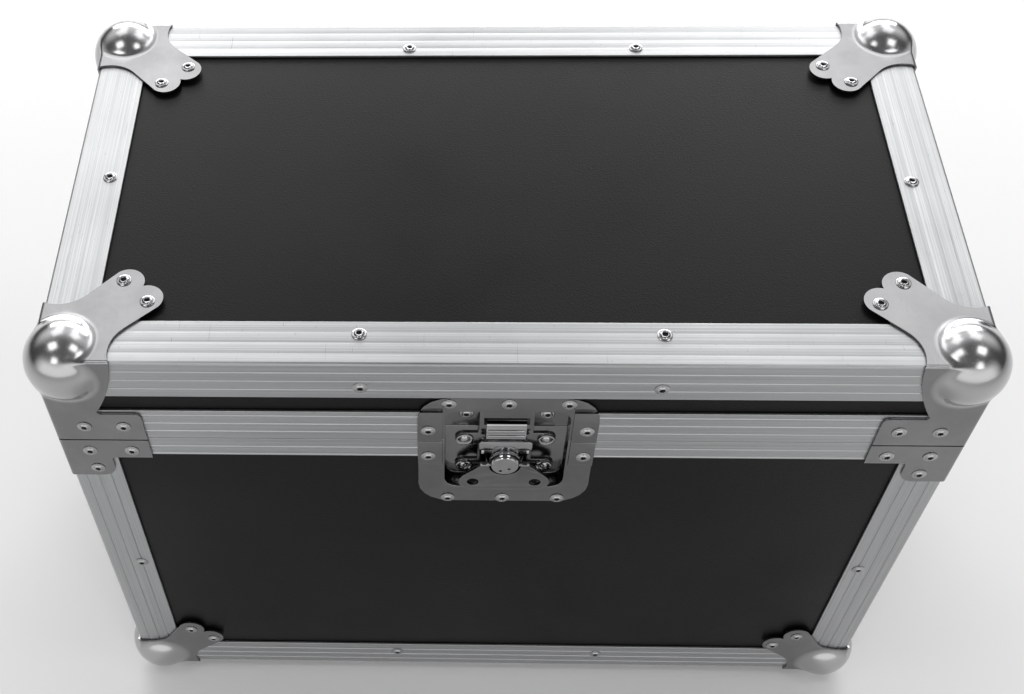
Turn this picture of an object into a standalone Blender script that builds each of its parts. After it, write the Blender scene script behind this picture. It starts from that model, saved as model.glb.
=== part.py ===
"""Small hinged flight case: laminated panels in aluminium edge extrusions, steel ball
corners, a recessed butterfly latch, two rear hinges and a recessed bail handle on each end.

Metres, +Z up, front face towards -Y. Everything stands on the empty "case_frame", whose
origin is the middle of the case's underside; the ball corners stand proud below it.
"""

import math

import bmesh
import bpy
from mathutils import Matrix

MM = 0.001

# Overall case, over the outer faces of the extrusions
CASE_WIDTH = 520 * MM
CASE_DEPTH = 284 * MM
PART_HEIGHT = 294 * MM          # parting line between base and lid, over the underside
LID_HEIGHT = 70 * MM
PART_GAP = 0.3 * MM             # gap between base and lid at rest
SEAT_GAP = 0.3 * MM             # gap between two pieces that bear on each other

# Edge extrusion: an outer angle, a solid corner and two inner fins that hold the panels
LEG = 30 * MM
LEG_WALL = 1.6 * MM
FIN_WALL = 1.5 * MM
FIN_REACH = 22 * MM
EDGE_ROUND = 1.5 * MM
GROOVE_PITCH = 7.5 * MM
GROOVE_WIDTH = 1.4 * MM
GROOVE_DEPTH = 0.5 * MM
PANEL = 7 * MM

# Rim extrusions at the parting line: tongue on the base, groove in the lid
BASE_RIM_LEG = 16.7 * MM
LID_RIM_LEG = 26.4 * MM
RIM_WEB = 2 * MM
TONGUE_HEIGHT = 4 * MM
TONGUE_INSET = 3.2 * MM
TONGUE_FOOT = 4.4 * MM
TONGUE_TAPER = 0.6 * MM
TONGUE_CLEAR = 1 * MM

# Corner fittings
PLATE = 1.2 * MM
FOLD_ROUND = 1.2 * MM
BALL_RADIUS = 23 * MM
BALL_INSET = 13.5 * MM          # ball centre, in from each outer face of the case
BALL_FLAT = 0.35 * MM           # depth of the flat that the ball stands or stacks on
BALL_SEGMENTS = 20
BALL_RINGS = 12
BALL_INSIDE_SEGMENTS = 14
BALL_INSIDE_RINGS = 8
LOBE_RADIUS = 9.6 * MM
LOBE_NEAR = 45 * MM             # lobe centre from the nearer fold
LOBE_FAR = 57 * MM              # lobe centre from the farther fold
NECK_RADIUS = 21.5 * MM
NECK_NEAR = 7.5 * MM
NECK_FAR = 62 * MM
LEG_PLATE_TOP = 42.47 * MM      # lid corner's leg: width at the top, midway and at the foot
LEG_PLATE_MIDDLE = 36.3 * MM
LEG_PLATE_WAIST = 27 * MM
LEG_PLATE_MIDWAY = 0.55         # share of the leg's height at which the middle width is
FOOT_REACH = 51.5 * MM
FOOT_HEIGHT = 24.6 * MM
FOOT_ROUND = 4 * MM
WAIST_ROUND = 2 * MM
LOW_LOBE_RADIUS = 9.2 * MM      # the base corner's plates are a little smaller
LOW_LOBE_NEAR = 41.5 * MM
LOW_LOBE_FAR = 54 * MM
LOW_NECK_RADIUS = 19.5 * MM
LOW_NECK_NEAR = 7 * MM
LOW_NECK_FAR = 58 * MM
LOW_POST_NECK_FAR = 52 * MM     # the neck across the post sits lower

# Corner braces under the parting line
BRACE_REACH = 51.5 * MM
BRACE_ARM = 18.3 * MM
BRACE_DROP = 37 * MM
BRACE_WIDTH = 27 * MM
BRACE_CLIP = 8.5 * MM

# Recessed latch dish, split at the parting line
DISH_HALF_WIDTH = 51.4 * MM
DISH_ROUND = 19 * MM
DISH_BELOW = 65.5 * MM
DISH_OPEN_HALF = 35.5 * MM
DISH_OPEN_ROUND = 8 * MM
DISH_OPEN_BELOW = 49 * MM
DISH_OPEN_ABOVE = 27 * MM
DISH_FLOOR = 10.6 * MM          # floor's front face, behind the front of the extrusions
DISH_WALL = 1.2 * MM
PAD_BELOW = 24 * MM
PAD_ABOVE = 28.4 * MM
PAD_MARGIN = 1.4 * MM           # from the opening's side to the raised pad
DISH_EDGE_CLEAR = 0.6 * MM      # from the upper dish to the lid's edge extrusion
CUTOUT_CLEAR = 0.6 * MM

# Latch mechanism
LATCH_DROP = 23.5 * MM          # twist axis, below the parting line
BASE_PLATE_HALF = 16 * MM
BASE_PLATE_WALL = 1.3 * MM
BASE_PLATE_MARGIN = 2 * MM      # from the carrier plate to the dish's end and the parting line
EAR_LOBE_REACH = 24 * MM
EAR_LOBE_RADIUS = 5.5 * MM
EAR_LOBE_ABOVE = 12.5 * MM
EAR_LOBE_BELOW = 14.5 * MM
YOKE_WALL = 2.1 * MM
YOKE_HALF = 11 * MM
YOKE_TOP = 10.5 * MM
YOKE_MARGIN = 2.2 * MM
YOKE_EAR_WALL = 1.5 * MM
YOKE_EAR_RADIUS = 3 * MM
YOKE_EAR_FRONT = 2.4 * MM       # how far the ears reach forward, from the case's front face
CAM_THROW = 3.25 * MM
CAM_RADIUS = 4.6 * MM
CAM_CLEAR = 0.9 * MM
HOOK_LAYER = 1.8 * MM
HOOK_HALF = 12.2 * MM
HOOK_STRAP_HALF = 11.5 * MM
HOOK_PIVOT_RISE = 6.3 * MM      # hook's pivot, above the twist axis
HOOK_SHOULDER = 18.5 * MM       # top of the hook's front layer, above the twist axis
HOOK_TOE = 2.3 * MM
HOOK_TOE_WALL = 2.4 * MM
HOOK_PIN_RADIUS = 1.2 * MM
BOSS_RADIUS = 9 * MM
BOSS_COLLAR = 9.4 * MM
BOSS_COLLAR_WALL = 1.5 * MM
BOSS_PROUD = 2.5 * MM
BOSS_ROUND = 1.2 * MM
SHAFT_RADIUS = 4 * MM
JOURNAL_RADIUS = 3 * MM
PIN_CLEAR = 0.3 * MM
WING_WALL = 2 * MM
WING_FRONT = 2 * MM             # wing's front face, proud of the extrusions
WING_PIN_RADIUS = 1 * MM
WING_BARREL = 1.7 * MM
WING_BARREL_END = 14.5 * MM
WING_CLEAR = 0.5 * MM
WING_TIP_RADIUS = 8.6 * MM
WING_TIP_SIDE = 18.6 * MM
WING_TIP_DROP = 17.2 * MM
WING_HOLE = 3.6 * MM
KEEPER_HALF = 15.8 * MM
KEEPER_WALL = 1.5 * MM
KEEPER_TOP = 23 * MM            # above the parting line
KEEPER_SLOT_HALF = 13 * MM
KEEPER_SLOT_LOW = 5.8 * MM
KEEPER_SLOT_HIGH = 12.4 * MM

# Hinges on the back face
HINGE_INSET = 110 * MM          # middle of a hinge, in from the end of the case
HINGE_WIDTH = 60 * MM
HINGE_WALL = 1.5 * MM
HINGE_KNUCKLE = 3.4 * MM
HINGE_STANDOFF = 4 * MM         # pin axis, behind the back face
HINGE_PIN = 1.6 * MM
HINGE_LID_LEAF = 25.6 * MM
HINGE_BASE_LEAF = 16 * MM

# Recessed handles on the ends
HANDLE_DROP = 114 * MM          # middle of a handle, below the parting line
HANDLE_HALF_WIDTH = 67 * MM
HANDLE_HALF_HEIGHT = 52 * MM
HANDLE_ROUND = 14 * MM
HANDLE_OPEN_HALF_WIDTH = 52 * MM
HANDLE_OPEN_HALF_HEIGHT = 38 * MM
HANDLE_OPEN_ROUND = 8 * MM
HANDLE_FLOOR = 14 * MM
BAIL_RADIUS = 4 * MM
BAIL_DEPTH = 7 * MM             # pivot axis, behind the end face
BAIL_RISE = 26 * MM             # pivot axis, above the handle's middle
BAIL_DROP = 40 * MM
BAIL_HALF = 43 * MM
BAIL_BEND = 7 * MM

ARC_STEPS = 5                   # straight steps in a quarter turn of an outline
ROUND_SEGMENTS = 20             # steps in a full turn: general, knuckles, small holes and pins
KNUCKLE_SEGMENTS = 16
HOLE_SEGMENTS = 14
PIN_SEGMENTS = 12
WELD = 0.004 * MM               # points closer than this are one
BLOCK = 4 * BALL_RADIUS         # half size of a cutting block round a corner

CASE_HEIGHT = PART_HEIGHT + LID_HEIGHT
PANEL_INSET = LEG_WALL + SEAT_GAP
CORE = PANEL_INSET + PANEL + SEAT_GAP + FIN_WALL
STAND = BALL_RADIUS - BALL_FLAT - BALL_INSET
PLATE_OUT = SEAT_GAP + PLATE
PART_HALF = PART_GAP / 2
DISH_FRONT = PANEL_INSET - SEAT_GAP - DISH_WALL
DISH_ABOVE = LID_HEIGHT - LEG - DISH_EDGE_CLEAR
PAD_INNER = DISH_OPEN_HALF + PAD_MARGIN
HANDLE_HEIGHT = PART_HEIGHT - HANDLE_DROP
HANDLE_OPENING = (HANDLE_OPEN_HALF_WIDTH, HANDLE_OPEN_HALF_HEIGHT, HANDLE_OPEN_ROUND)

# Latch layers, from the dish's floor forwards, and places that follow the hook and keeper
LATCH_HEIGHT = PART_HEIGHT - LATCH_DROP
YOKE_BACK = DISH_FLOOR - 2 * SEAT_GAP - BASE_PLATE_WALL
YOKE_FRONT = YOKE_BACK - YOKE_WALL
HOOK_BACK = YOKE_FRONT - SEAT_GAP
HOOK_MIDDLE = HOOK_BACK - HOOK_LAYER
HOOK_FRONT = HOOK_MIDDLE - HOOK_LAYER
KEEPER_FRONT = HOOK_BACK + SEAT_GAP
HOOK_TOP = LATCH_DROP + KEEPER_SLOT_LOW + SEAT_GAP + HOOK_TOE_WALL
WING_AXIS_DEPTH = WING_WALL / 2 - WING_FRONT
BASE_PLATE_ABOVE = LATCH_DROP - BASE_PLATE_MARGIN
BASE_PLATE_BELOW = DISH_OPEN_BELOW - LATCH_DROP - BASE_PLATE_MARGIN

# Name, side along X, side along Y and turn about Z
CORNERS = (
    ("front_left", -1, -1, 0),
    ("front_right", 1, -1, 90),
    ("back_right", 1, 1, 180),
    ("back_left", -1, 1, 270),
)
SIDES = (("front", 0, -1, 0), ("right", 1, 0, 90), ("back", 0, 1, 180), ("left", -1, 0, 270))


# Scene, materials and placing

def clear_scene():
    for old in list(bpy.data.objects):
        bpy.data.objects.remove(old, do_unlink=True)


def make_material(name, colour, roughness, metallic):
    made = bpy.data.materials.new(name)
    made.use_nodes = True
    shader = made.node_tree.nodes["Principled BSDF"]
    shader.inputs["Base Color"].default_value = (*colour, 1)
    shader.inputs["Roughness"].default_value = roughness
    shader.inputs["Metallic"].default_value = metallic
    made.diffuse_color = (*colour, 1)
    return made


def add_empty(name, location, parent=None):
    empty = bpy.data.objects.new(name, None)
    empty.empty_display_size = 20 * MM
    bpy.context.scene.collection.objects.link(empty)
    empty.parent = parent
    empty.location = location
    return empty


def add_piece(name, mesh, material, parent, place=(0, 0, 0), turn=0, smooth=30):
    """One named sub-part. place is in the case's own coordinates, also under a moving empty."""
    piece = bpy.data.objects.new(name, mesh)
    bpy.context.scene.collection.objects.link(piece)
    if not mesh.materials:
        mesh.materials.append(make_material(name, *material))
    mesh.shade_smooth()
    mesh.set_sharp_from_angle(angle=math.radians(smooth))
    piece.parent = parent
    offset = (0, 0, 0)
    above = parent
    while above is not None and above.name != "case_frame":
        offset = tuple(value + shift for value, shift in zip(offset, above.location))
        above = above.parent
    piece.location = tuple(value - shift for value, shift in zip(place, offset))
    piece.rotation_euler = (0, 0, math.radians(turn))
    return piece


# Outlines

def arc(centre, radius, start, end, steps=None):
    """Points along an arc, angles in degrees, both ends included."""
    count = steps or max(1, round(abs(end - start) / 90 * ARC_STEPS))
    points = []
    for index in range(count + 1):
        angle = math.radians(start + (end - start) * index / count)
        points.append((centre[0] + radius * math.cos(angle), centre[1] + radius * math.sin(angle)))
    return points


def arc_through(first, middle, last, steps):
    """Points along the arc through three points, both ends included."""
    ax, ay = first
    bx, by = middle
    cx, cy = last
    double = 2 * (ax * (by - cy) + bx * (cy - ay) + cx * (ay - by))
    square_a = ax * ax + ay * ay
    square_b = bx * bx + by * by
    square_c = cx * cx + cy * cy
    centre_x = (square_a * (by - cy) + square_b * (cy - ay) + square_c * (ay - by)) / double
    centre_y = (square_a * (cx - bx) + square_b * (ax - cx) + square_c * (bx - ax)) / double
    start = math.degrees(math.atan2(ay - centre_y, ax - centre_x))
    end = math.degrees(math.atan2(cy - centre_y, cx - centre_x))
    end = start + (end - start + 180) % 360 - 180
    return arc((centre_x, centre_y), math.hypot(ax - centre_x, ay - centre_y), start, end, steps)


def rounded_rectangle(left, right, low, high, radius):
    points = arc((right - radius, low + radius), radius, -90, 0)
    points += arc((right - radius, high - radius), radius, 0, 90)
    points += arc((left + radius, high - radius), radius, 90, 180)
    points += arc((left + radius, low + radius), radius, 180, 270)
    return points


def rounded_end(half_width, low, high, radius):
    """A strip from a square end at low to a rounded end at high."""
    points = [(-half_width, low), (half_width, low)]
    points += arc((half_width - radius, high - radius), radius, 0, 90)
    points += arc((radius - half_width, high - radius), radius, 90, 180)
    return points


def swapped(points):
    return [(second, first) for first, second in reversed(points)]


# Solids

def mesh_from(work, name="solid"):
    bmesh.ops.recalc_face_normals(work, faces=work.faces[:])
    mesh = bpy.data.meshes.new(name)
    work.to_mesh(mesh)
    work.free()
    return mesh


def prism(outline, low, high, along="Z"):
    """A closed prism. The outline is in XY, XZ or YZ, and runs along the third axis."""
    place = {
        "Z": lambda point, height: (point[0], point[1], height),
        "Y": lambda point, height: (point[0], height, point[1]),
        "X": lambda point, height: (height, point[0], point[1]),
    }[along]
    work = bmesh.new()
    bottom = [work.verts.new(place(point, low)) for point in outline]
    top = [work.verts.new(place(point, high)) for point in outline]
    work.faces.new(bottom)
    work.faces.new(top)
    for index in range(len(outline)):
        after = (index + 1) % len(outline)
        work.faces.new((bottom[index], bottom[after], top[after], top[index]))
    return mesh_from(work)


def box(low, high):
    outline = [(low[0], low[1]), (high[0], low[1]), (high[0], high[1]), (low[0], high[1])]
    return prism(outline, low[2], high[2])


def cylinder(centre, radius, low, high, along, segments=ROUND_SEGMENTS):
    return prism(arc(centre, radius, 0, 360 - 360 / segments, segments - 1), low, high, along)


def pin_rod(centre, radius, half):
    """Thin round rod along X, or the bore for one, reaching half to each side of the middle."""
    return cylinder(centre, radius, -half, half, "X", PIN_SEGMENTS)


def turned(profile, centre, segments=24):
    """A solid turned about an axis along Y. The profile is (radius, y) from axis to axis."""
    work = bmesh.new()
    rings = []
    for radius, depth in profile:
        if radius == 0:
            rings.append([work.verts.new((centre[0], depth, centre[1]))])
            continue
        ring = []
        for index in range(segments):
            angle = 2 * math.pi * index / segments
            spot = (centre[0] + radius * math.cos(angle), depth, centre[1] + radius * math.sin(angle))
            ring.append(work.verts.new(spot))
        rings.append(ring)
    for first, second in zip(rings, rings[1:]):
        for index in range(segments):
            after = (index + 1) % segments
            corners = [first[index % len(first)], first[after % len(first)]]
            corners += [second[after % len(second)], second[index % len(second)]]
            work.faces.new(list(dict.fromkeys(corners)))
    return mesh_from(work)


def ball(centre, radius, segments, rings):
    work = bmesh.new()
    bmesh.ops.create_uvsphere(work, u_segments=segments, v_segments=rings, radius=radius)
    bmesh.ops.translate(work, verts=work.verts[:], vec=centre)
    return mesh_from(work)


def joined(first, others, operation):
    """Union, difference or intersection of meshes, worked out on throw-away objects."""
    scene = bpy.context.scene
    body = bpy.data.objects.new("boolean_body", first)
    scene.collection.objects.link(body)
    helpers = []
    for other in others:
        helper = bpy.data.objects.new("boolean_helper", other)
        scene.collection.objects.link(helper)
        helpers.append(helper)
        step = body.modifiers.new("boolean", "BOOLEAN")
        step.operation = operation
        step.solver = "EXACT"
        step.object = helper
    bpy.context.view_layer.update()
    result = bpy.data.meshes.new_from_object(body.evaluated_get(bpy.context.evaluated_depsgraph_get()))
    for used in [body, *helpers]:
        mesh = used.data
        bpy.data.objects.remove(used, do_unlink=True)
        bpy.data.meshes.remove(mesh)
    result.materials.clear()
    return tidied(result)


def tidied(mesh):
    """Welds the slivers that a boolean leaves, and merges flat neighbours."""
    work = bmesh.new()
    work.from_mesh(mesh)
    bmesh.ops.remove_doubles(work, verts=work.verts[:], dist=WELD)
    bmesh.ops.dissolve_degenerate(work, edges=work.edges[:], dist=WELD)
    flat = math.radians(0.05)
    bmesh.ops.dissolve_limit(work, angle_limit=flat, verts=work.verts[:], edges=work.edges[:])
    work.to_mesh(mesh)
    work.free()
    return mesh


def union(*meshes):
    return joined(meshes[0], meshes[1:], "UNION")


def cut(mesh, *cutters):
    return joined(mesh, cutters, "DIFFERENCE")


def moved(mesh, matrix):
    mesh.transform(matrix)
    return mesh


# Edge and rim extrusions

def groove_marks(length):
    """Places of the fine grooves along an outer face, from the case's edge."""
    count = int((length - GROOVE_WIDTH) / GROOVE_PITCH)
    return [GROOVE_PITCH * (index + 1) for index in range(count)]


def grooved_face(length):
    """Outer face of a leg from its root to its tip, as (along, depth)."""
    points = []
    for mark in groove_marks(length):
        points += [(mark - GROOVE_WIDTH / 2, 0), (mark, GROOVE_DEPTH), (mark + GROOVE_WIDTH / 2, 0)]
    points.append((length, 0))
    return points


def edge_profile():
    """Double angle: each panel sits between an outer leg and an inner fin."""
    fin_inner = CORE - FIN_WALL
    half = [(EDGE_ROUND, 0), *grooved_face(LEG), (LEG, LEG_WALL), (CORE, LEG_WALL), (CORE, fin_inner)]
    half += [(FIN_REACH, fin_inner), (FIN_REACH, CORE)]
    corner = arc((EDGE_ROUND, EDGE_ROUND), EDGE_ROUND, 180, 270, 2)[1:-1]
    return corner + half + [(CORE, CORE)] + [(second, first) for first, second in reversed(half)]


def edge_extrusion(length, rises):
    """Runs along X, outer corner on the X axis. One leg goes inwards, the other up or down."""
    profile = [(inward, upward * rises) for inward, upward in edge_profile()]
    return prism(profile, -length / 2, length / 2, "X")


def base_rim(start, end):
    """Tongue extrusion on the base's top edge, along X, from the parting line down."""
    inner = CORE - FIN_WALL
    top = -PART_HALF
    low = top - BASE_RIM_LEG
    face = [(depth, top - along) for along, depth in reversed(grooved_face(BASE_RIM_LEG))]
    tongue_top = top + TONGUE_HEIGHT
    tongue_end = TONGUE_INSET + TONGUE_FOOT
    profile = face + [(0, top), (TONGUE_INSET, top), (TONGUE_INSET + TONGUE_TAPER, tongue_top)]
    profile += [(tongue_end - TONGUE_TAPER, tongue_top), (tongue_end, top)]
    profile += [(CORE, top), (CORE, low), (inner, low), (inner, top - RIM_WEB), (LEG_WALL, top - RIM_WEB)]
    profile += [(LEG_WALL, low)]
    return prism(profile, start, end, "X")


def lid_rim(start, end):
    """Groove extrusion on the lid's lower edge, along X, from the parting line up."""
    inner = CORE - FIN_WALL
    low = PART_HALF
    high = low + LID_RIM_LEG
    roof = low + TONGUE_HEIGHT + TONGUE_CLEAR
    outer = TONGUE_INSET - TONGUE_CLEAR
    innermost = TONGUE_INSET + TONGUE_FOOT + TONGUE_CLEAR
    profile = [(0, low)] + [(depth, low + along) for along, depth in grooved_face(LID_RIM_LEG)]
    profile += [(LEG_WALL, high), (LEG_WALL, roof + RIM_WEB), (inner, roof + RIM_WEB), (inner, high)]
    profile += [(CORE, high), (CORE, low), (innermost, low), (innermost - TONGUE_TAPER, roof)]
    profile += [(outer + TONGUE_TAPER, roof), (outer, low)]
    return prism(profile, start, end, "X")


def side_place(across, along, height):
    return (across * CASE_WIDTH / 2, along * CASE_DEPTH / 2, height)


def build_extrusions(base, lid):
    gap = LEG + SEAT_GAP
    post_profile = edge_profile()
    post = prism(post_profile, gap, PART_HEIGHT - PART_HALF - BASE_RIM_LEG - SEAT_GAP)
    lengths = {"front": CASE_WIDTH, "back": CASE_WIDTH, "left": CASE_DEPTH, "right": CASE_DEPTH}
    for name, across, along, turn in SIDES:
        length = lengths[name] - 2 * gap
        low = side_place(across, along, 0)
        high = side_place(across, along, CASE_HEIGHT)
        add_piece(f"base_edge_{name}", edge_extrusion(length, 1), ALUMINIUM, base, low, turn)
        add_piece(f"lid_edge_{name}", edge_extrusion(length, -1), ALUMINIUM, lid, high, turn)
    for name, across, along, turn in CORNERS:
        add_piece(f"base_post_{name}", post.copy(), ALUMINIUM, base, side_place(across, along, 0), turn)
    bpy.data.meshes.remove(post)


def build_rims(base, lid):
    """The front rims stop at the latch dish, and the end rims butt against front and back."""
    full = CASE_WIDTH / 2
    between = CASE_DEPTH / 2 - CORE - SEAT_GAP
    notch = PAD_INNER + DISH_WALL + SEAT_GAP
    spans = {
        "front_left": ("front", -full, -notch),
        "front_right": ("front", notch, full),
        "back": ("back", -full, full),
        "left": ("left", -between, between),
        "right": ("right", -between, between),
    }
    sides = {side[0]: side for side in SIDES}
    for name, (side, start, end) in spans.items():
        _, across, along, turn = sides[side]
        place = side_place(across, along, PART_HEIGHT)
        add_piece(f"base_rim_{name}", base_rim(start, end), ALUMINIUM, base, place, turn)
        add_piece(f"lid_rim_{name}", lid_rim(start, end), ALUMINIUM, lid, place, turn)


# Panels

def notched_panel(half, near, far, notch_half, notch_far):
    """Outline of a panel from the edge extrusion at near to the rim at far, notched at far."""
    points = [(-half, near), (half, near), (half, far), (notch_half, far), (notch_half, notch_far)]
    return points + [(-notch_half, notch_far), (-notch_half, far), (-half, far)]


def build_panels(base, lid):
    back = PANEL_INSET + PANEL
    channel = CORE + SEAT_GAP
    half_x = CASE_WIDTH / 2 - channel
    half_y = CASE_DEPTH / 2 - channel
    base_top = PART_HEIGHT - PART_HALF - RIM_WEB - SEAT_GAP
    lid_low = PART_HEIGHT + PART_HALF + TONGUE_HEIGHT + TONGUE_CLEAR + RIM_WEB + SEAT_GAP
    lid_top = CASE_HEIGHT - channel
    lid_half_x = CASE_WIDTH / 2 - PANEL_INSET
    notch = PAD_INNER + DISH_WALL + SEAT_GAP
    notch_low = PART_HEIGHT - DISH_OPEN_BELOW - DISH_WALL - CUTOUT_CLEAR
    notch_high = PART_HEIGHT + DISH_OPEN_ABOVE + DISH_WALL + CUTOUT_CLEAR

    def flat(half, low, high):
        return prism([(-half, low), (half, low), (half, high), (-half, high)], PANEL_INSET, back, "Y")

    floor = box((-half_x, -half_y, PANEL_INSET), (half_x, half_y, back))
    add_piece("base_floor_panel", floor, LAMINATE, base)
    roof = box((-half_x, -half_y, CASE_HEIGHT - back), (half_x, half_y, CASE_HEIGHT - PANEL_INSET))
    add_piece("lid_top_panel", roof, LAMINATE, lid)

    front = prism(notched_panel(half_x, channel, base_top, notch, notch_low), PANEL_INSET, back, "Y")
    lid_front = prism(notched_panel(lid_half_x, lid_top, lid_low, notch, notch_high), PANEL_INSET, back, "Y")
    hole = handle_outline(*HANDLE_OPENING, DISH_WALL + CUTOUT_CLEAR)
    ends = []
    for _ in range(2):
        window = prism(hole, PANEL_INSET - PANEL, back + PANEL, "Y")
        ends.append(cut(flat(half_y, channel, base_top), window))
    base_panels = {"front": front, "right": ends[0], "back": flat(half_x, channel, base_top), "left": ends[1]}
    lid_panels = {
        "front": lid_front,
        "right": flat(half_y, lid_low, lid_top),
        "back": flat(lid_half_x, lid_low, lid_top),
        "left": flat(half_y, lid_low, lid_top),
    }
    for name, across, along, turn in SIDES:
        place = side_place(across, along, 0)
        add_piece(f"base_{name}_panel", base_panels[name], LAMINATE, base, place, turn)
        add_piece(f"lid_{name}_panel", lid_panels[name], LAMINATE, lid, place, turn)


# Ball corners and braces

def lobed_half(neck, neck_radius, lobe, lobe_radius, notch):
    """One half of a two-lobed plate: a hollow neck from the fold, then the lobe up to the notch."""
    distance = math.hypot(lobe[0] - neck[0], lobe[1] - neck[1])
    heading = math.degrees(math.atan2(lobe[1] - neck[1], lobe[0] - neck[0]))
    swing = heading + math.degrees(math.acos((neck_radius + lobe_radius) / distance))
    fold = 180 + math.degrees(math.asin((neck[1] + PLATE_OUT) / neck_radius))
    last = math.degrees(math.atan2(notch[1] - lobe[1], notch[0] - lobe[0]))
    return arc(neck, neck_radius, fold, swing) + arc(lobe, lobe_radius, swing - 180, last)


def lobed_plate(first, second):
    """Outline of a plate whose two folds lie at -PLATE_OUT; each side is (neck, neck radius,
    lobe, lobe radius), and the second is given with its coordinates swapped."""
    lobe, radius = first[2:]
    other = second[2][::-1]
    middle = ((lobe[0] + other[0]) / 2, (lobe[1] + other[1]) / 2)
    half = math.hypot(lobe[0] - other[0], lobe[1] - other[1]) / 2
    reach = math.sqrt(radius * radius - half * half)
    share = reach / (2 * half)
    notch = (middle[0] + share * (other[1] - lobe[1]), middle[1] + share * (lobe[0] - other[0]))
    points = lobed_half(*first, notch)
    points += swapped(lobed_half(*second, notch[::-1]))[1:]
    return [(-PLATE_OUT, -PLATE_OUT), *points]


def leg_outline():
    """Lid corner's leg on the front and end faces, as (in from the edge, down from the top)."""
    foot_top = CASE_HEIGHT - PART_HEIGHT - PART_HALF - FOOT_HEIGHT
    bottom = foot_top + FOOT_HEIGHT
    middle = (LEG_PLATE_MIDDLE, foot_top * LEG_PLATE_MIDWAY)
    waist = (LEG_PLATE_WAIST, foot_top - WAIST_ROUND)
    points = [(-PLATE_OUT, -PLATE_OUT)]
    points += arc_through((LEG_PLATE_TOP, -PLATE_OUT), middle, waist, ARC_STEPS)
    points += [(LEG_PLATE_WAIST + WAIST_ROUND, foot_top)]
    points += arc((FOOT_REACH - FOOT_ROUND, foot_top + FOOT_ROUND), FOOT_ROUND, -90, 0, 3)
    return points + [(FOOT_REACH, bottom), (-PLATE_OUT, bottom)]


def brace_outline():
    """Brace arm and drop, as (in from the edge, down from the parting line)."""
    points = [(-PLATE_OUT, PART_HALF), (BRACE_REACH, PART_HALF), (BRACE_REACH, BRACE_ARM)]
    points += [(BRACE_WIDTH + WAIST_ROUND, BRACE_ARM), (BRACE_WIDTH, BRACE_ARM + WAIST_ROUND)]
    points += arc((BRACE_WIDTH - BRACE_CLIP, BRACE_DROP - BRACE_CLIP), BRACE_CLIP, 0, 90, 3)
    return points + [(-PLATE_OUT, BRACE_DROP)]


def folded(outline_up, outline_side, rises):
    """Plates on the two upright faces of a corner, and on the level face if there is one.
    Local axes run inwards along X and Y; rises is 1 for a base corner, -1 for a lid corner."""
    upright = [(inward, height * rises) for inward, height in outline_side]
    front = prism(upright, -PLATE_OUT, -SEAT_GAP, "Y")
    side = prism(upright, -PLATE_OUT, -SEAT_GAP, "X")
    plates = [front, side]
    if outline_up:
        plates.append(prism(outline_up, *sorted((-PLATE_OUT * rises, -SEAT_GAP * rises))))
    block = rounded_block(-PLATE_OUT * rises if outline_up else BLOCK * -rises, BLOCK * rises)
    return joined(union(*plates), [block], "INTERSECT")


def rounded_block(near, far):
    """Block that fills a corner's outer folds, with the folds' outer edges rounded."""
    mesh = box((-PLATE_OUT, -PLATE_OUT, min(near, far)), (BLOCK, BLOCK, max(near, far)))
    outer = (-PLATE_OUT, -PLATE_OUT, near if abs(near) < BLOCK else None)
    work = bmesh.new()
    work.from_mesh(mesh)
    folds = []
    for edge in work.edges:
        held = 0
        for axis, place in enumerate(outer):
            held += place is not None and all(abs(vert.co[axis] - place) < WELD for vert in edge.verts)
        if held == 2:
            folds.append(edge)
    bmesh.ops.bevel(work, geom=folds, offset=FOLD_ROUND, segments=2, profile=0.5, affect="EDGES")
    work.to_mesh(mesh)
    work.free()
    return mesh


def ball_corner(level_outline, upright_outline, rises):
    """Pressed steel corner: folded plates with a hollow ball blown out of the point."""
    centre = (BALL_INSET, BALL_INSET, BALL_INSET * rises)
    flat = (BALL_RADIUS - BALL_FLAT - BALL_INSET) * -rises
    foot = box((-BLOCK, -BLOCK, min(flat, -BLOCK * rises)), (BLOCK, BLOCK, max(flat, -BLOCK * rises)))
    outer = cut(ball(centre, BALL_RADIUS, BALL_SEGMENTS, BALL_RINGS), foot)
    inside_radius = BALL_RADIUS - PLATE - BALL_FLAT
    inner = ball(centre, inside_radius, BALL_INSIDE_SEGMENTS, BALL_INSIDE_RINGS)
    inside = sorted((-SEAT_GAP * rises, BLOCK * rises))
    inside_box = box((-SEAT_GAP, -SEAT_GAP, inside[0]), (BLOCK, BLOCK, inside[1]))
    reach = math.sqrt(BALL_RADIUS ** 2 - 2 * (BALL_INSET + PLATE_OUT) ** 2)
    tip = BALL_INSET - reach + SEAT_GAP
    ends = sorted((tip * rises, -BLOCK * rises))
    point = box((-BLOCK, -BLOCK, ends[0]), (tip, tip, ends[1]))
    plates = cut(folded(level_outline, upright_outline, rises), point)
    return cut(union(plates, outer), inner, inside_box)


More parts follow.
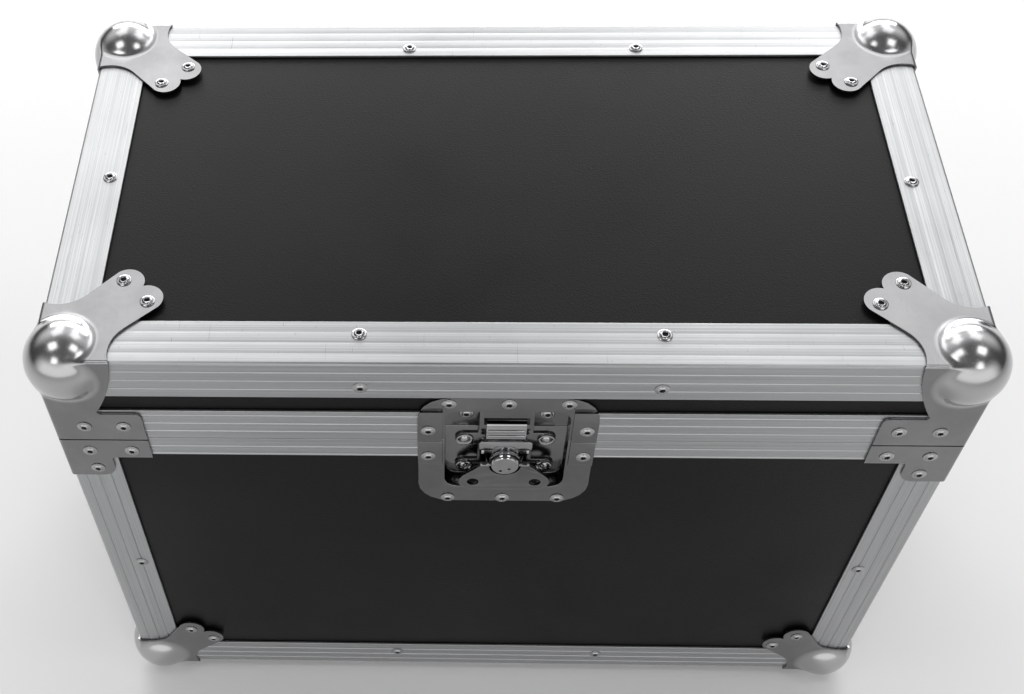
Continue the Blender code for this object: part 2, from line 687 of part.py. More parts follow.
def build_corners(base, lid):
    side = ((NECK_FAR, NECK_NEAR), NECK_RADIUS, (LOBE_FAR, LOBE_NEAR), LOBE_RADIUS)
    low_lobe = (LOW_LOBE_FAR, LOW_LOBE_NEAR)
    low_side = ((LOW_NECK_FAR, LOW_NECK_NEAR), LOW_NECK_RADIUS, low_lobe, LOW_LOBE_RADIUS)
    post_side = ((LOW_POST_NECK_FAR, LOW_NECK_NEAR), *low_side[1:])
    lid_corner = ball_corner(lobed_plate(side, side), leg_outline(), -1)
    base_corner = ball_corner(lobed_plate(low_side, low_side), lobed_plate(low_side, post_side), 1)
    brace = folded(None, [(inward, -down) for inward, down in brace_outline()], 1)
    for name, across, along, turn in CORNERS:
        low = side_place(across, along, 0)
        middle = side_place(across, along, PART_HEIGHT)
        high = side_place(across, along, CASE_HEIGHT)
        add_piece(f"base_ball_corner_{name}", base_corner.copy(), STEEL, base, low, turn)
        add_piece(f"lid_ball_corner_{name}", lid_corner.copy(), STEEL, lid, high, turn)
        add_piece(f"base_corner_brace_{name}", brace.copy(), STEEL, base, middle, turn)
    for used in (lid_corner, base_corner, brace):
        bpy.data.meshes.remove(used)


# Latch dish

def pad_outline(flange_height, pad_height):
    """Raised pad beside the opening, up to the pad's height, inside the flange's outline."""
    centre = (DISH_HALF_WIDTH - DISH_ROUND, flange_height - DISH_ROUND)
    points = [(PAD_INNER, PART_HALF), (DISH_HALF_WIDTH, PART_HALF)]
    rise = max(0, pad_height - centre[1])
    end = math.degrees(math.asin(rise / DISH_ROUND))
    if end > 0:
        points += arc(centre, DISH_ROUND, 0, end, 2)
    else:
        points.append((DISH_HALF_WIDTH, pad_height))
    return points + [(PAD_INNER, pad_height)]


def dish_half(flange_height, open_height, pad_height):
    """Half of the pressed dish, from the parting line upwards, front face towards -Y."""
    flange_back = DISH_FRONT + DISH_WALL
    flange_outline = rounded_end(DISH_HALF_WIDTH, PART_HALF, flange_height, DISH_ROUND)
    flange = prism(flange_outline, DISH_FRONT, flange_back, "Y")
    pad = pad_outline(flange_height, pad_height)
    mirrored = [(-across, height) for across, height in reversed(pad)]
    pads = [prism(points, -PLATE_OUT, flange_back, "Y") for points in (pad, mirrored)]
    pan_round = DISH_OPEN_ROUND + DISH_WALL
    pan_outline = rounded_end(DISH_OPEN_HALF + DISH_WALL, PART_HALF, open_height + DISH_WALL, pan_round)
    pan = prism(pan_outline, DISH_FRONT + DISH_WALL / 2, DISH_FLOOR + DISH_WALL, "Y")
    open_outline = rounded_end(DISH_OPEN_HALF, -PAD_BELOW, open_height, DISH_OPEN_ROUND)
    opening = prism(open_outline, -PAD_BELOW, DISH_FLOOR, "Y")
    pockets = []
    for side in (-1, 1):
        near, far = sorted((side * (PAD_INNER + DISH_WALL), side * 2 * DISH_HALF_WIDTH))
        pockets.append(box((near, -SEAT_GAP, -PAD_BELOW), (far, DISH_FLOOR, pad_height - DISH_WALL)))
    return cut(union(flange, *pads, pan), opening, *pockets)


def build_latch_dish(base, lid):
    place = (0, -CASE_DEPTH / 2, PART_HEIGHT)
    upper = dish_half(DISH_ABOVE, DISH_OPEN_ABOVE, PAD_ABOVE)
    add_piece("latch_upper_dish", upper, STEEL, lid, place)
    lower = moved(dish_half(DISH_BELOW, DISH_OPEN_BELOW, PAD_BELOW), Matrix.Rotation(math.pi, 4, "Y"))
    add_piece("latch_lower_dish", lower, STEEL, base, place)


# Latch mechanism. Local Y is the depth behind the extrusions' front face, and local Z is
# measured from the twist axis, except on the keeper, where it is from the parting line.

def keeper():
    """Slotted bracket on the floor of the upper dish: the hook's toe bears in its slot."""
    back = DISH_FLOOR - SEAT_GAP
    low = PART_HALF + SEAT_GAP
    block = box((-KEEPER_HALF, KEEPER_FRONT, low), (KEEPER_HALF, back, KEEPER_TOP))
    inner_half = KEEPER_HALF - KEEPER_WALL
    inner_front = KEEPER_FRONT + KEEPER_WALL
    behind = back + KEEPER_WALL
    hollow = box((-inner_half, inner_front, -low), (inner_half, behind, KEEPER_TOP - KEEPER_WALL))
    relief = box((-2 * KEEPER_HALF, inner_front, -low), (2 * KEEPER_HALF, behind, KEEPER_SLOT_HIGH))
    slot = box((-KEEPER_SLOT_HALF, 0, KEEPER_SLOT_LOW), (KEEPER_SLOT_HALF, behind, KEEPER_SLOT_HIGH))
    return cut(block, hollow, relief, slot)


def latch_base_plate():
    """Flat carrier on the floor of the lower dish, with four riveted ears and a bearing hole."""
    front = YOKE_BACK + SEAT_GAP
    back = front + BASE_PLATE_WALL
    outline = [(-BASE_PLATE_HALF, -BASE_PLATE_BELOW), (BASE_PLATE_HALF, -BASE_PLATE_BELOW)]
    for height in (-EAR_LOBE_BELOW, EAR_LOBE_ABOVE):
        outline.append((BASE_PLATE_HALF, height - EAR_LOBE_RADIUS))
        outline += arc((EAR_LOBE_REACH, height), EAR_LOBE_RADIUS, -90, 90, 6)
        outline.append((BASE_PLATE_HALF, height + EAR_LOBE_RADIUS))
    outline.append((BASE_PLATE_HALF, BASE_PLATE_ABOVE))
    outline += [(-across, height) for across, height in reversed(outline[2:])]
    plate = prism(outline, front, back, "Y")
    return cut(plate, cylinder((0, 0), JOURNAL_RADIUS + PIN_CLEAR, 0, 2 * back, "Y"))


def latch_yoke():
    """Slide behind the hook: its slot rides the cam, and its ears carry the hook's pivot."""
    window_radius = CAM_RADIUS + CAM_CLEAR
    low = -CAM_THROW - window_radius - YOKE_MARGIN
    ear_inner = HOOK_HALF + SEAT_GAP
    ear_outer = ear_inner + YOKE_EAR_WALL
    shoulder = HOOK_PIVOT_RISE - YOKE_EAR_RADIUS
    outline = [(-YOKE_HALF, low), (YOKE_HALF, low), (YOKE_HALF, shoulder), (ear_outer, shoulder)]
    outline += [(ear_outer, YOKE_TOP), (-ear_outer, YOKE_TOP), (-ear_outer, shoulder), (-YOKE_HALF, shoulder)]
    plate = prism(outline, YOKE_FRONT, YOKE_BACK, "Y")
    pivot = ((HOOK_FRONT + HOOK_BACK) / 2, HOOK_PIVOT_RISE)
    root = YOKE_FRONT + YOKE_WALL / 2
    ear = [(root, shoulder), (root, HOOK_PIVOT_RISE + YOKE_EAR_RADIUS)]
    ear += arc((YOKE_EAR_FRONT + YOKE_EAR_RADIUS, pivot[1]), YOKE_EAR_RADIUS, 90, 270, 6)
    ears = [prism(ear, *sorted((side * ear_inner, side * ear_outer)), "X") for side in (-1, 1)]
    reach = CAM_THROW + window_radius
    window = arc((reach - window_radius, -CAM_THROW), window_radius, -90, 90, 8)
    window += arc((window_radius - reach, -CAM_THROW), window_radius, 90, 270, 8)
    bore = pin_rod(pivot, HOOK_PIN_RADIUS + PIN_CLEAR, 2 * ear_outer)
    return cut(union(plate, *ears), prism(window, 0, 2 * YOKE_BACK, "Y"), bore)


def latch_hook():
    """Strap with a toe that hooks back through the keeper, on a thicker pivoting shoulder."""
    radius = HOOK_LAYER
    pivot = (HOOK_MIDDLE, HOOK_PIVOT_RISE)
    foot = arc(pivot, radius, 180, 360, 8)
    toe_low = HOOK_TOP - HOOK_TOE_WALL
    toe_back = HOOK_BACK + HOOK_TOE
    side = foot + [(HOOK_BACK, toe_low), (toe_back, toe_low), (toe_back, HOOK_TOP)]
    side += [(HOOK_MIDDLE + radius / 2, HOOK_TOP), (HOOK_MIDDLE, HOOK_TOP - radius / 2)]
    side += [(HOOK_MIDDLE, HOOK_SHOULDER), (HOOK_FRONT, HOOK_SHOULDER)]
    body = prism(side, -HOOK_HALF, HOOK_HALF, "X")
    pin = pin_rod(pivot, HOOK_PIN_RADIUS, HOOK_HALF + YOKE_EAR_WALL)
    trims = []
    for end in (-1, 1):
        near, far = sorted((end * HOOK_STRAP_HALF, end * 2 * HOOK_HALF))
        trims.append(box((near, 0, HOOK_SHOULDER), (far, 2 * YOKE_BACK, 2 * HOOK_TOP)))
    return cut(union(body, pin), *trims)


def latch_rotor():
    """Turned boss with collar, shaft, cam and rear journal, cross-bored for the wing's pin."""
    collar_back = HOOK_FRONT - SEAT_GAP
    collar_front = collar_back - BOSS_COLLAR_WALL
    shaft_back = YOKE_FRONT - SEAT_GAP / 2
    cam_back = YOKE_BACK + SEAT_GAP / 2
    journal_back = YOKE_BACK + SEAT_GAP + BASE_PLATE_WALL
    profile = [(0, -BOSS_PROUD), (BOSS_RADIUS - BOSS_ROUND, -BOSS_PROUD)]
    profile += [(BOSS_RADIUS, BOSS_ROUND - BOSS_PROUD), (BOSS_RADIUS, collar_front)]
    profile += [(BOSS_COLLAR, collar_front), (BOSS_COLLAR, collar_back)]
    profile += [(SHAFT_RADIUS, collar_back), (SHAFT_RADIUS, shaft_back), (0, shaft_back)]
    cam = cylinder((0, -CAM_THROW), CAM_RADIUS, HOOK_MIDDLE, cam_back, "Y")
    journal = cylinder((0, 0), JOURNAL_RADIUS, cam_back - SEAT_GAP / 3, journal_back, "Y")
    cross = pin_rod((WING_AXIS_DEPTH, 0), WING_PIN_RADIUS + PIN_CLEAR, 2 * BOSS_COLLAR)
    return cut(union(turned(profile, (0, 0)), cam, journal), cross)


def wing_outline():
    """Butterfly wing folded down: straight shoulders, round drilled tips and a hollow for the boss."""
    hollow = BOSS_RADIUS + WING_CLEAR
    shoulder = (WING_BARREL_END, 0)
    tip = (WING_TIP_SIDE, -WING_TIP_DROP)
    distance = math.hypot(tip[0] - shoulder[0], tip[1] - shoulder[1])
    heading = math.degrees(math.atan2(shoulder[1] - tip[1], shoulder[0] - tip[0]))
    touch = heading - math.degrees(math.acos(WING_TIP_RADIUS / distance))
    half = [(hollow, 0), shoulder, *arc(tip, WING_TIP_RADIUS, touch, -90, 7)]
    hollow_arc = arc((0, 0), hollow, 180, 360, 12)
    mirrored = [(-across, height) for across, height in reversed(half[1:])]
    return half + mirrored + hollow_arc[:-1]


def latch_wing():
    """Folding wing with barrels round its cross pin, which runs through the boss."""
    depth = WING_AXIS_DEPTH
    plate = prism(wing_outline(), depth - WING_WALL / 2, depth + WING_WALL / 2, "Y")
    inner = BOSS_RADIUS + WING_CLEAR
    barrels = []
    holes = []
    for side in (-1, 1):
        span = sorted((side * inner, side * WING_BARREL_END))
        barrels.append(cylinder((depth, 0), WING_BARREL, *span, "X", PIN_SEGMENTS))
        tip = (side * WING_TIP_SIDE, -WING_TIP_DROP)
        holes.append(cylinder(tip, WING_HOLE, -2 * WING_FRONT, 2 * WING_FRONT, "Y", HOLE_SEGMENTS))
    pin = pin_rod((depth, 0), WING_PIN_RADIUS, inner + WING_BARREL)
    return cut(union(plate, *barrels, pin), *holes)


def build_latch(base, lid):
    front = -CASE_DEPTH / 2
    axis = (0, front, LATCH_HEIGHT)
    twist = add_empty("latch_twist_axis", axis, base)
    flip = add_empty("wing_flip_axis", (0, WING_AXIS_DEPTH, 0), twist)
    slide = add_empty("yoke_slide_axis", axis, base)
    tilt = add_empty("hook_tilt_axis", (0, HOOK_MIDDLE, HOOK_PIVOT_RISE), slide)
    add_piece("latch_base_plate", latch_base_plate(), STEEL, base, axis)
    add_piece("latch_keeper", keeper(), STEEL, lid, (0, front, PART_HEIGHT))
    add_piece("latch_rotor", latch_rotor(), STEEL, twist, axis)
    add_piece("latch_wing", latch_wing(), STEEL, flip, axis)
    add_piece("latch_yoke", latch_yoke(), STEEL, slide, axis)
    add_piece("latch_hook", latch_hook(), STEEL, tilt, axis)


# Hinges

def hinge_leaf(length, rises, with_pin):
    """Leaf on the back face; local Y points away from the case, Z from the parting line."""
    half = HINGE_WIDTH / 2
    third = HINGE_WIDTH / 6
    outer_clear = HINGE_KNUCKLE + SEAT_GAP
    inner_end = third - SEAT_GAP / 2
    outer_start = third + SEAT_GAP / 2
    low = SEAT_GAP
    high = SEAT_GAP + HINGE_WALL
    knuckle = (HINGE_STANDOFF, 0)
    root = HINGE_KNUCKLE / 2

    def plate(start, end, near):
        height = sorted((near * rises, length * rises))
        return box((start, low, height[0]), (end, high, height[1]))

    if with_pin:
        plates = [plate(-half, half, outer_clear)]
        plates += [plate(*sorted((side * outer_start, side * half)), PART_HALF) for side in (-1, 1)]
        spans = [sorted((side * outer_start, side * half)) for side in (-1, 1)]
        rounds = [cylinder(knuckle, HINGE_KNUCKLE, *span, "X", KNUCKLE_SEGMENTS) for span in spans]
        rounds.append(pin_rod(knuckle, HINGE_PIN, half - root))
        return union(*plates, *rounds)
    plates = [plate(-half, half, outer_clear), plate(-inner_end, inner_end, PART_HALF)]
    barrel = cylinder(knuckle, HINGE_KNUCKLE, -inner_end, inner_end, "X", KNUCKLE_SEGMENTS)
    bore = pin_rod(knuckle, HINGE_PIN + PIN_CLEAR, half)
    return cut(union(*plates, barrel), bore)


def build_hinges(base, lid):
    for name, side in (("left", -1), ("right", 1)):
        place = (side * (CASE_WIDTH / 2 - HINGE_INSET), CASE_DEPTH / 2, PART_HEIGHT)
        lower = hinge_leaf(HINGE_BASE_LEAF, -1, True)
        upper = hinge_leaf(HINGE_LID_LEAF, 1, False)
        add_piece(f"hinge_{name}_base_leaf", lower, STEEL, base, place)
        add_piece(f"hinge_{name}_lid_leaf", upper, STEEL, lid, place)


# End handles. Local axes: X along the end face, Y inwards, Z up.

def handle_outline(half_width, half_height, radius, grow=0):
    low = HANDLE_HEIGHT - half_height - grow
    high = HANDLE_HEIGHT + half_height + grow
    return rounded_rectangle(-half_width - grow, half_width + grow, low, high, radius + grow)


def handle_dish():
    back = HANDLE_FLOOR + DISH_WALL
    outline = handle_outline(HANDLE_HALF_WIDTH, HANDLE_HALF_HEIGHT, HANDLE_ROUND)
    flange = prism(outline, DISH_FRONT, DISH_FRONT + DISH_WALL, "Y")
    pan = prism(handle_outline(*HANDLE_OPENING, DISH_WALL), DISH_FRONT + DISH_WALL / 2, back, "Y")
    hollow = prism(handle_outline(*HANDLE_OPENING), -back, HANDLE_FLOOR, "Y")
    axle = (BAIL_DEPTH, HANDLE_HEIGHT + BAIL_RISE)
    span = (-HANDLE_HALF_WIDTH, HANDLE_HALF_WIDTH)
    bores = cylinder(axle, BAIL_RADIUS + PIN_CLEAR, *span, "X", KNUCKLE_SEGMENTS)
    return cut(union(flange, pan), hollow, bores)


def bail_route():
    """Bent rod: axle stub, arm, grip, arm and stub, as (along the end face, height)."""
    stub = HANDLE_OPEN_HALF_WIDTH + DISH_WALL - SEAT_GAP
    top = HANDLE_HEIGHT + BAIL_RISE
    low = top - BAIL_DROP
    half = [(stub, top)]
    half += arc((BAIL_HALF + BAIL_BEND, top - BAIL_BEND), BAIL_BEND, 90, 180, 4)
    half += arc((BAIL_HALF - BAIL_BEND, low + BAIL_BEND), BAIL_BEND, 0, -90, 4)
    return half + [(-across, height) for across, height in reversed(half)]


def handle_bail(segments=10):
    """Rod swept along its route, with a round section square to the route at every point."""
    route = bail_route()
    work = bmesh.new()
    rings = []
    for index, (across, height) in enumerate(route):
        before = route[max(index - 1, 0)]
        after = route[min(index + 1, len(route) - 1)]
        incoming = math.atan2(height - before[1], across - before[0])
        outgoing = math.atan2(after[1] - height, after[0] - across)
        if index == 0:
            incoming = outgoing
        if index == len(route) - 1:
            outgoing = incoming
        bend = (outgoing - incoming + math.pi) % (2 * math.pi) - math.pi
        heading = incoming + bend / 2
        stretch = 1 / math.cos(bend / 2)
        normal = (-math.sin(heading), math.cos(heading))
        ring = []
        for step in range(segments):
            angle = 2 * math.pi * step / segments
            offset = BAIL_RADIUS * math.cos(angle) * stretch
            depth = BAIL_DEPTH + BAIL_RADIUS * math.sin(angle)
            ring.append(work.verts.new((across + normal[0] * offset, depth, height + normal[1] * offset)))
        rings.append(ring)
    for first, second in zip(rings, rings[1:]):
        for step in range(segments):
            after = (step + 1) % segments
            work.faces.new((first[step], first[after], second[after], second[step]))
    work.faces.new(rings[0])
    work.faces.new(rings[-1])
    return mesh_from(work)


def build_handles(base):
    for name, side, turn in (("left", -1, 270), ("right", 1, 90)):
        place = (side * CASE_WIDTH / 2, 0, 0)
        add_piece(f"handle_{name}_dish", handle_dish(), STEEL, base, place, turn)
        depth = side * (CASE_WIDTH / 2 - BAIL_DEPTH)
        axis = add_empty(f"handle_{name}_axis", (depth, 0, HANDLE_HEIGHT + BAIL_RISE), base)
        add_piece(f"handle_{name}_bail", handle_bail(), STEEL, axis, place, turn)


# Colours as (linear colour, roughness, metallic)
ALUMINIUM = ((0.62, 0.63, 0.64), 0.38, 1.0)
STEEL = ((0.55, 0.55, 0.56), 0.22, 1.0)
LAMINATE = ((0.012, 0.012, 0.013), 0.55, 0.0)


def main():
    clear_scene()
    base = add_empty("case_frame", (0, 0, STAND))
    lid = add_empty("lid_hinge_axis", (0, CASE_DEPTH / 2 + HINGE_STANDOFF, PART_HEIGHT), base)
    build_panels(base, lid)
    build_extrusions(base, lid)
    build_rims(base, lid)
    build_corners(base, lid)
    build_latch_dish(base, lid)
    build_latch(base, lid)
    build_hinges(base, lid)
    build_handles(base)


main()
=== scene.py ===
"""Render scene for the flight case: worn satin extrusions, bright plated corners and latch,
and black laminate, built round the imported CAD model."""

import math

import bmesh
import bpy
from mathutils import Matrix, Vector


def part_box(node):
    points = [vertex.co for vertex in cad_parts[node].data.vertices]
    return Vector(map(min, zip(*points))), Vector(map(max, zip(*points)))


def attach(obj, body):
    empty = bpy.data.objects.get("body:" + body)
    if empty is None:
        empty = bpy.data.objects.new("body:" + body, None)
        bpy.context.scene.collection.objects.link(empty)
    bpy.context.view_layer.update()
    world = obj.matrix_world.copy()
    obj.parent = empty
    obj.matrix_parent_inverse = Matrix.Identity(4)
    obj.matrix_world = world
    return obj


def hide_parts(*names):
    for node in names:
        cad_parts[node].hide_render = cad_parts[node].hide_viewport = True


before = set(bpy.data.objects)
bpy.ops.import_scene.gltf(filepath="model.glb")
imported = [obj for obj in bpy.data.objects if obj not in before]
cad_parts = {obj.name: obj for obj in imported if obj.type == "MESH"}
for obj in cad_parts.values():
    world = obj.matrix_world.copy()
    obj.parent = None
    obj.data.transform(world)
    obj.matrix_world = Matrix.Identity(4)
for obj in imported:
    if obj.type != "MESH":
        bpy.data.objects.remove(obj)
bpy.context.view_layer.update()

MM = 0.001

# The case over the outer faces of its extrusions, as in the CAD
HALF_WIDTH = 260 * MM
HALF_DEPTH = 142 * MM
UNDERSIDE = 9.15 * MM
ROOF = UNDERSIDE + 364 * MM
PARTING = UNDERSIDE + 294 * MM
LATCH_AXIS = PARTING - 23.5 * MM
HANDLE_MIDDLE = UNDERSIDE + 180 * MM

# Extrusions, in millimetres
GROOVE_DRAWN = 0.5              # depth of the grooves in the model
GROOVE_UPRIGHT = 0.50           # and as seen, on upright and on level faces
GROOVE_LEVEL = 0.08

# Corner fittings, in millimetres
PLATE = 1.2
PLATE_OUT = 1.5                 # plates' outer faces, out from the extrusions'
RIM_ROUND = 0.45                # sheared edges, worn round
FOLD_ROUND = 2.2
FOLD_BEYOND = 3                 # how far an outline is drawn past a fold
FINE_STEP = 1.1                 # grid that the balls are blown from
COARSE_STEP = 4.5
BALL_RADIUS = 23
BALL_INSET = 13.5
BALL_ROOT = 3.4
BALL_SPREAD = 0.3               # share of a skin's way out over which it turns into the ball
BALL_FINE = 33                  # how far the fine grid goes on a fitting with a ball
BRACE_FINE = 4                  # and on a brace
LID_REACH = 75                  # how far the plates of each fitting go
BASE_REACH = 70
BRACE_REACH = 56
LID_PLATE = {"neck": (62, 7.5), "neck_radius": 21.5, "lobe": (57, 45), "lobe_radius": 9.6}
BASE_PLATE = {"neck": (58, 7), "neck_radius": 19.5, "lobe": (54, 41.5), "lobe_radius": 9.2}
POST_PLATE = {**BASE_PLATE, "neck": (52, 7)}
LEG_FLANK_CENTRE = (-57.05, -10.86)
LEG_FLANK_RADIUS = 99.96
LEG_FLANK_SPAN = (4.5, 32.8)    # degrees over which the flank bows
LEG_FOOT = 45.25                # top and bottom of the leg's foot, under the roof
LEG_DROP = 69.85
ELBOW = 29                      # where the leg's foot and the brace's arm turn off
ELBOW_RADIUS = 2
FOOT_END = 51.5                 # and where both end
TOE_RADIUS = 4
BRACE_GAP = 0.9                 # from the parting line to the brace,
BRACE_ARM = 18.3                # to the lower edge of its arm
BRACE_DROP = 37                 # and to the end of its drop
DROP_CENTRE = (18.5, 28.5)
DROP_RADIUS = 8.5

# Rivets of the corner fittings, in millimetres: on a level plate as in from the front and in from
# the end, on an upright plate as in from the edge and away from the level face
LID_LOBE_RIVETS = ((58, 42.7), (42.7, 58))
LID_FOOT_RIVETS = ((17.2, 57), (40, 57))
BASE_LOBE_RIVETS = ((55, 41), (41, 55))
POST_LOBE_RIVETS = ((41.4, 53.5), (55.9, 39.6))
BRACE_RIVETS = ((15.6, 11), (40.4, 11), (16.7, 29))

# Rivets along the extrusions, in millimetres
ROOF_RIVETS = ((-83, -121), (83, -121), (-60, 119), (86, 119), (-238, 0), (238, -3))
LID_LEG_RIVETS = (-82.5, 82.5)  # along X, on the lid's front and back
LID_LEG_HEIGHT = 343.5          # and over the underside
BASE_RIVETS = (-69, 78)         # along X, on the base's front, back and underside
BASE_LEG_HEIGHT = 19
SOLE_RIVETS = (239, 121)        # on the underside, out to the ends and out to front and back
POST_RIVETS = (238, 120)        # on the posts, likewise
POST_HEIGHT = 149

# Rivets of the latch, the handles and the hinges, in millimetres
FLANGE_RIVETS = (-33.5, 0, 33.5)
PAD_RIVETS = (-45.2, 45.2)
FLOOR_RIVETS = (-23.3, 23.3)
FLANGE_IN = 0.4                 # flanges of the dishes, in from the extrusions' outer faces
LATCH_FLOOR_IN = 10.6           # and the floor of the latch's upper dish
HANDLE_RIVETS = ((-59.5, 0), (59.5, 0), (-59.5, 40), (59.5, 40), (-59.5, -40), (59.5, -40),
                 (0, 45), (0, -45))
HINGE_MIDDLE = 150
HINGE_RIVETS = (-21, 0, 21)
HINGE_LEAF_OUT = 1.8            # outer faces of the leaves, out from the extrusions'
HINGE_ABOVE = 16                # rivets of the two leaves, from the parting line
HINGE_BELOW = 10.5

# Rows of the latch's rivets on each body, in millimetres: height over the underside, how far in
# from the extrusions' outer faces, and places along X
LATCH_ROWS = {
    "lid": ((328.5, FLANGE_IN, FLANGE_RIVETS), (305.5, -PLATE_OUT, PAD_RIVETS),
            (306, LATCH_FLOOR_IN, FLOOR_RIVETS)),
    "base": ((232.5, FLANGE_IN, FLANGE_RIVETS), (280, -PLATE_OUT, PAD_RIVETS)),
}

# Bar of a bail, in millimetres in from the end's face and under the handle's middle
BAR_IN = 7
BAR_DROP = 14

# Rivets sit a little askew and none is turned like the next, in radians
RIVET_TURN = 2.4
RIVET_TILT = 0.035

# Outward directions
UP, DOWN, FORWARD, BACKWARD = (0, 0, 1), (0, 0, -1), (0, -1, 0), (0, 1, 0)

# Corner's name, its side along X and along Y, and its turn about Z in degrees
CORNERS = (
    ("front_left", -1, -1, 0),
    ("front_right", 1, -1, 90),
    ("back_right", 1, 1, 180),
    ("back_left", -1, 1, 270),
)
ENDS = (("left", -1), ("right", 1))


# Materials

def linear(colour):
    """Linear RGBA from an sRGB hex value."""
    parts = [int(colour[start:start + 2], 16) / 255 for start in (1, 3, 5)]
    return (*[part / 12.92 if part <= 0.04045 else ((part + 0.055) / 1.055) ** 2.4
              for part in parts], 1)


def set_sockets(tree, node, values):
    """Gives a node's inputs their links and constants, by name or in their order."""
    for name, value in values.items() if isinstance(values, dict) else enumerate(values):
        if isinstance(value, bpy.types.NodeSocket):
            tree.links.new(value, node.inputs[name])
        else:
            node.inputs[name].default_value = value


def add_node(tree, kind, values=(), stops=(), **settings):
    """Adds a node with its settings and inputs, and a colour ramp's (position, hex) stops."""
    node = tree.nodes.new(kind)
    for name, value in settings.items():
        setattr(node, name, value)
    set_sockets(tree, node, values)
    for place, _ in stops[2:]:
        node.color_ramp.elements.new(place)
    for index, (place, colour) in enumerate(stops):
        node.color_ramp.elements[index].position = place
        node.color_ramp.elements[index].color = linear(colour)
    return node


def new_material(name):
    material = bpy.data.materials.new(name)
    material.use_nodes = True
    return material, material.node_tree, material.node_tree.nodes["Principled BSDF"]


def pattern_scale(size):
    """Scale at which a pattern on Object coordinates has features of a size in millimetres."""
    return 1000 / size


def scratches(tree, coords, turn, length, spacing, share):
    """Sparse hairlines: noise drawn out along one way, kept only where it peaks."""
    across = pattern_scale(spacing)
    mapping = add_node(tree, "ShaderNodeMapping", {
        "Vector": coords, "Rotation": turn, "Scale": (across, pattern_scale(length), across)})
    noise = add_node(tree, "ShaderNodeTexNoise", {
        "Vector": mapping.outputs[0], "Scale": 1.0, "Detail": 1.0})
    return add_node(tree, "ShaderNodeMapRange", [
        noise.outputs[0], share, share + 0.05, 0.0, 1.0]).outputs[0]


def black_laminate():
    """Phenolic film pressed on birch ply: nearly black, with a fine pebbled grain that breaks its
    gloss into haze, and a little dust. Grain and dust are drawn about twice as coarse as the real
    ones, so that they show."""
    material, tree, shader = new_material("black_laminate")
    coords = add_node(tree, "ShaderNodeTexCoord").outputs["Object"]
    grain = add_node(tree, "ShaderNodeTexVoronoi", {
        "Vector": coords, "Scale": pattern_scale(1.1), "Randomness": 0.9})
    cloud = add_node(tree, "ShaderNodeTexNoise", {
        "Vector": coords, "Scale": pattern_scale(110), "Detail": 3.0, "Roughness": 0.55})
    fleck = add_node(tree, "ShaderNodeTexNoise", {
        "Vector": coords, "Scale": pattern_scale(1.6), "Detail": 2.0})
    base = add_node(tree, "ShaderNodeValToRGB", {"Fac": cloud.outputs[0]},
                    stops=[(0.30, "#090909"), (0.72, "#0e0e0f")])
    dust = add_node(tree, "ShaderNodeMapRange", [fleck.outputs[0], 0.64, 0.78, 0.0, 0.10])
    dusty = add_node(tree, "ShaderNodeMix", {
        "Factor": dust.outputs[0], "A": base.outputs["Color"], "B": linear("#4a4a4b")},
        data_type="RGBA")
    bump = add_node(tree, "ShaderNodeBump", {
        "Height": grain.outputs["Distance"], "Strength": 0.60, "Distance": 0.12 * MM})
    rough = add_node(tree, "ShaderNodeMapRange", [cloud.outputs[0], 0.3, 0.7, 0.30, 0.46])
    set_sockets(tree, shader, {
        "Base Color": dusty.outputs["Result"], "Normal": bump.outputs[0],
        "Specular IOR Level": 0.14, "Roughness": rough.outputs[0]})
    return material


def satin_aluminium(axis):
    """Extruded aluminium, anodised satin: die lines run along the bar, and handling has left
    dark nicks and a few long scores across it. The lines are drawn 0.5 mm apart and the marks
    a little wide, coarser than the real ones, so that they show."""
    material, tree, shader = new_material(f"satin_aluminium_{axis.lower()}")
    coords = add_node(tree, "ShaderNodeTexCoord").outputs["Object"]
    die_scale = [pattern_scale(220 if letter == axis else 0.5) for letter in "XYZ"]
    drawn_out = add_node(tree, "ShaderNodeMapping", {"Vector": coords, "Scale": die_scale})
    lines = add_node(tree, "ShaderNodeTexNoise", {
        "Vector": drawn_out.outputs[0], "Scale": 1.0, "Detail": 2.0})
    cloud = add_node(tree, "ShaderNodeTexNoise", {
        "Vector": coords, "Scale": pattern_scale(40), "Detail": 4.0})
    nicks = scratches(tree, coords, (0.2, 0.3, 0.9), 5, 0.6, 0.73)
    scores = scratches(tree, coords, (0.1, 0.2, 0.5), 40, 0.9, 0.75)
    marks = add_node(tree, "ShaderNodeMath", [nicks, scores], operation="MAXIMUM")
    wear = add_node(tree, "ShaderNodeMath", [marks.outputs[0], 0.45], operation="MULTIPLY")
    tone = add_node(tree, "ShaderNodeValToRGB", {"Fac": lines.outputs[0]},
                    stops=[(0.30, "#a1a2a3"), (0.55, "#afb0b1"), (0.75, "#bdbebf")])
    worn = add_node(tree, "ShaderNodeMix", {
        "Factor": wear.outputs[0], "A": tone.outputs["Color"], "B": linear("#5c5d5e")},
        data_type="RGBA")
    bump = add_node(tree, "ShaderNodeBump", {
        "Height": lines.outputs[0], "Strength": 0.10, "Distance": 0.03 * MM})
    rough = add_node(tree, "ShaderNodeMapRange", [cloud.outputs[0], 0.3, 0.7, 0.34, 0.44])
    set_sockets(tree, shader, {
        "Base Color": worn.outputs["Result"], "Metallic": 1.0, "Normal": bump.outputs[0],
        "Roughness": rough.outputs[0]})
    return material


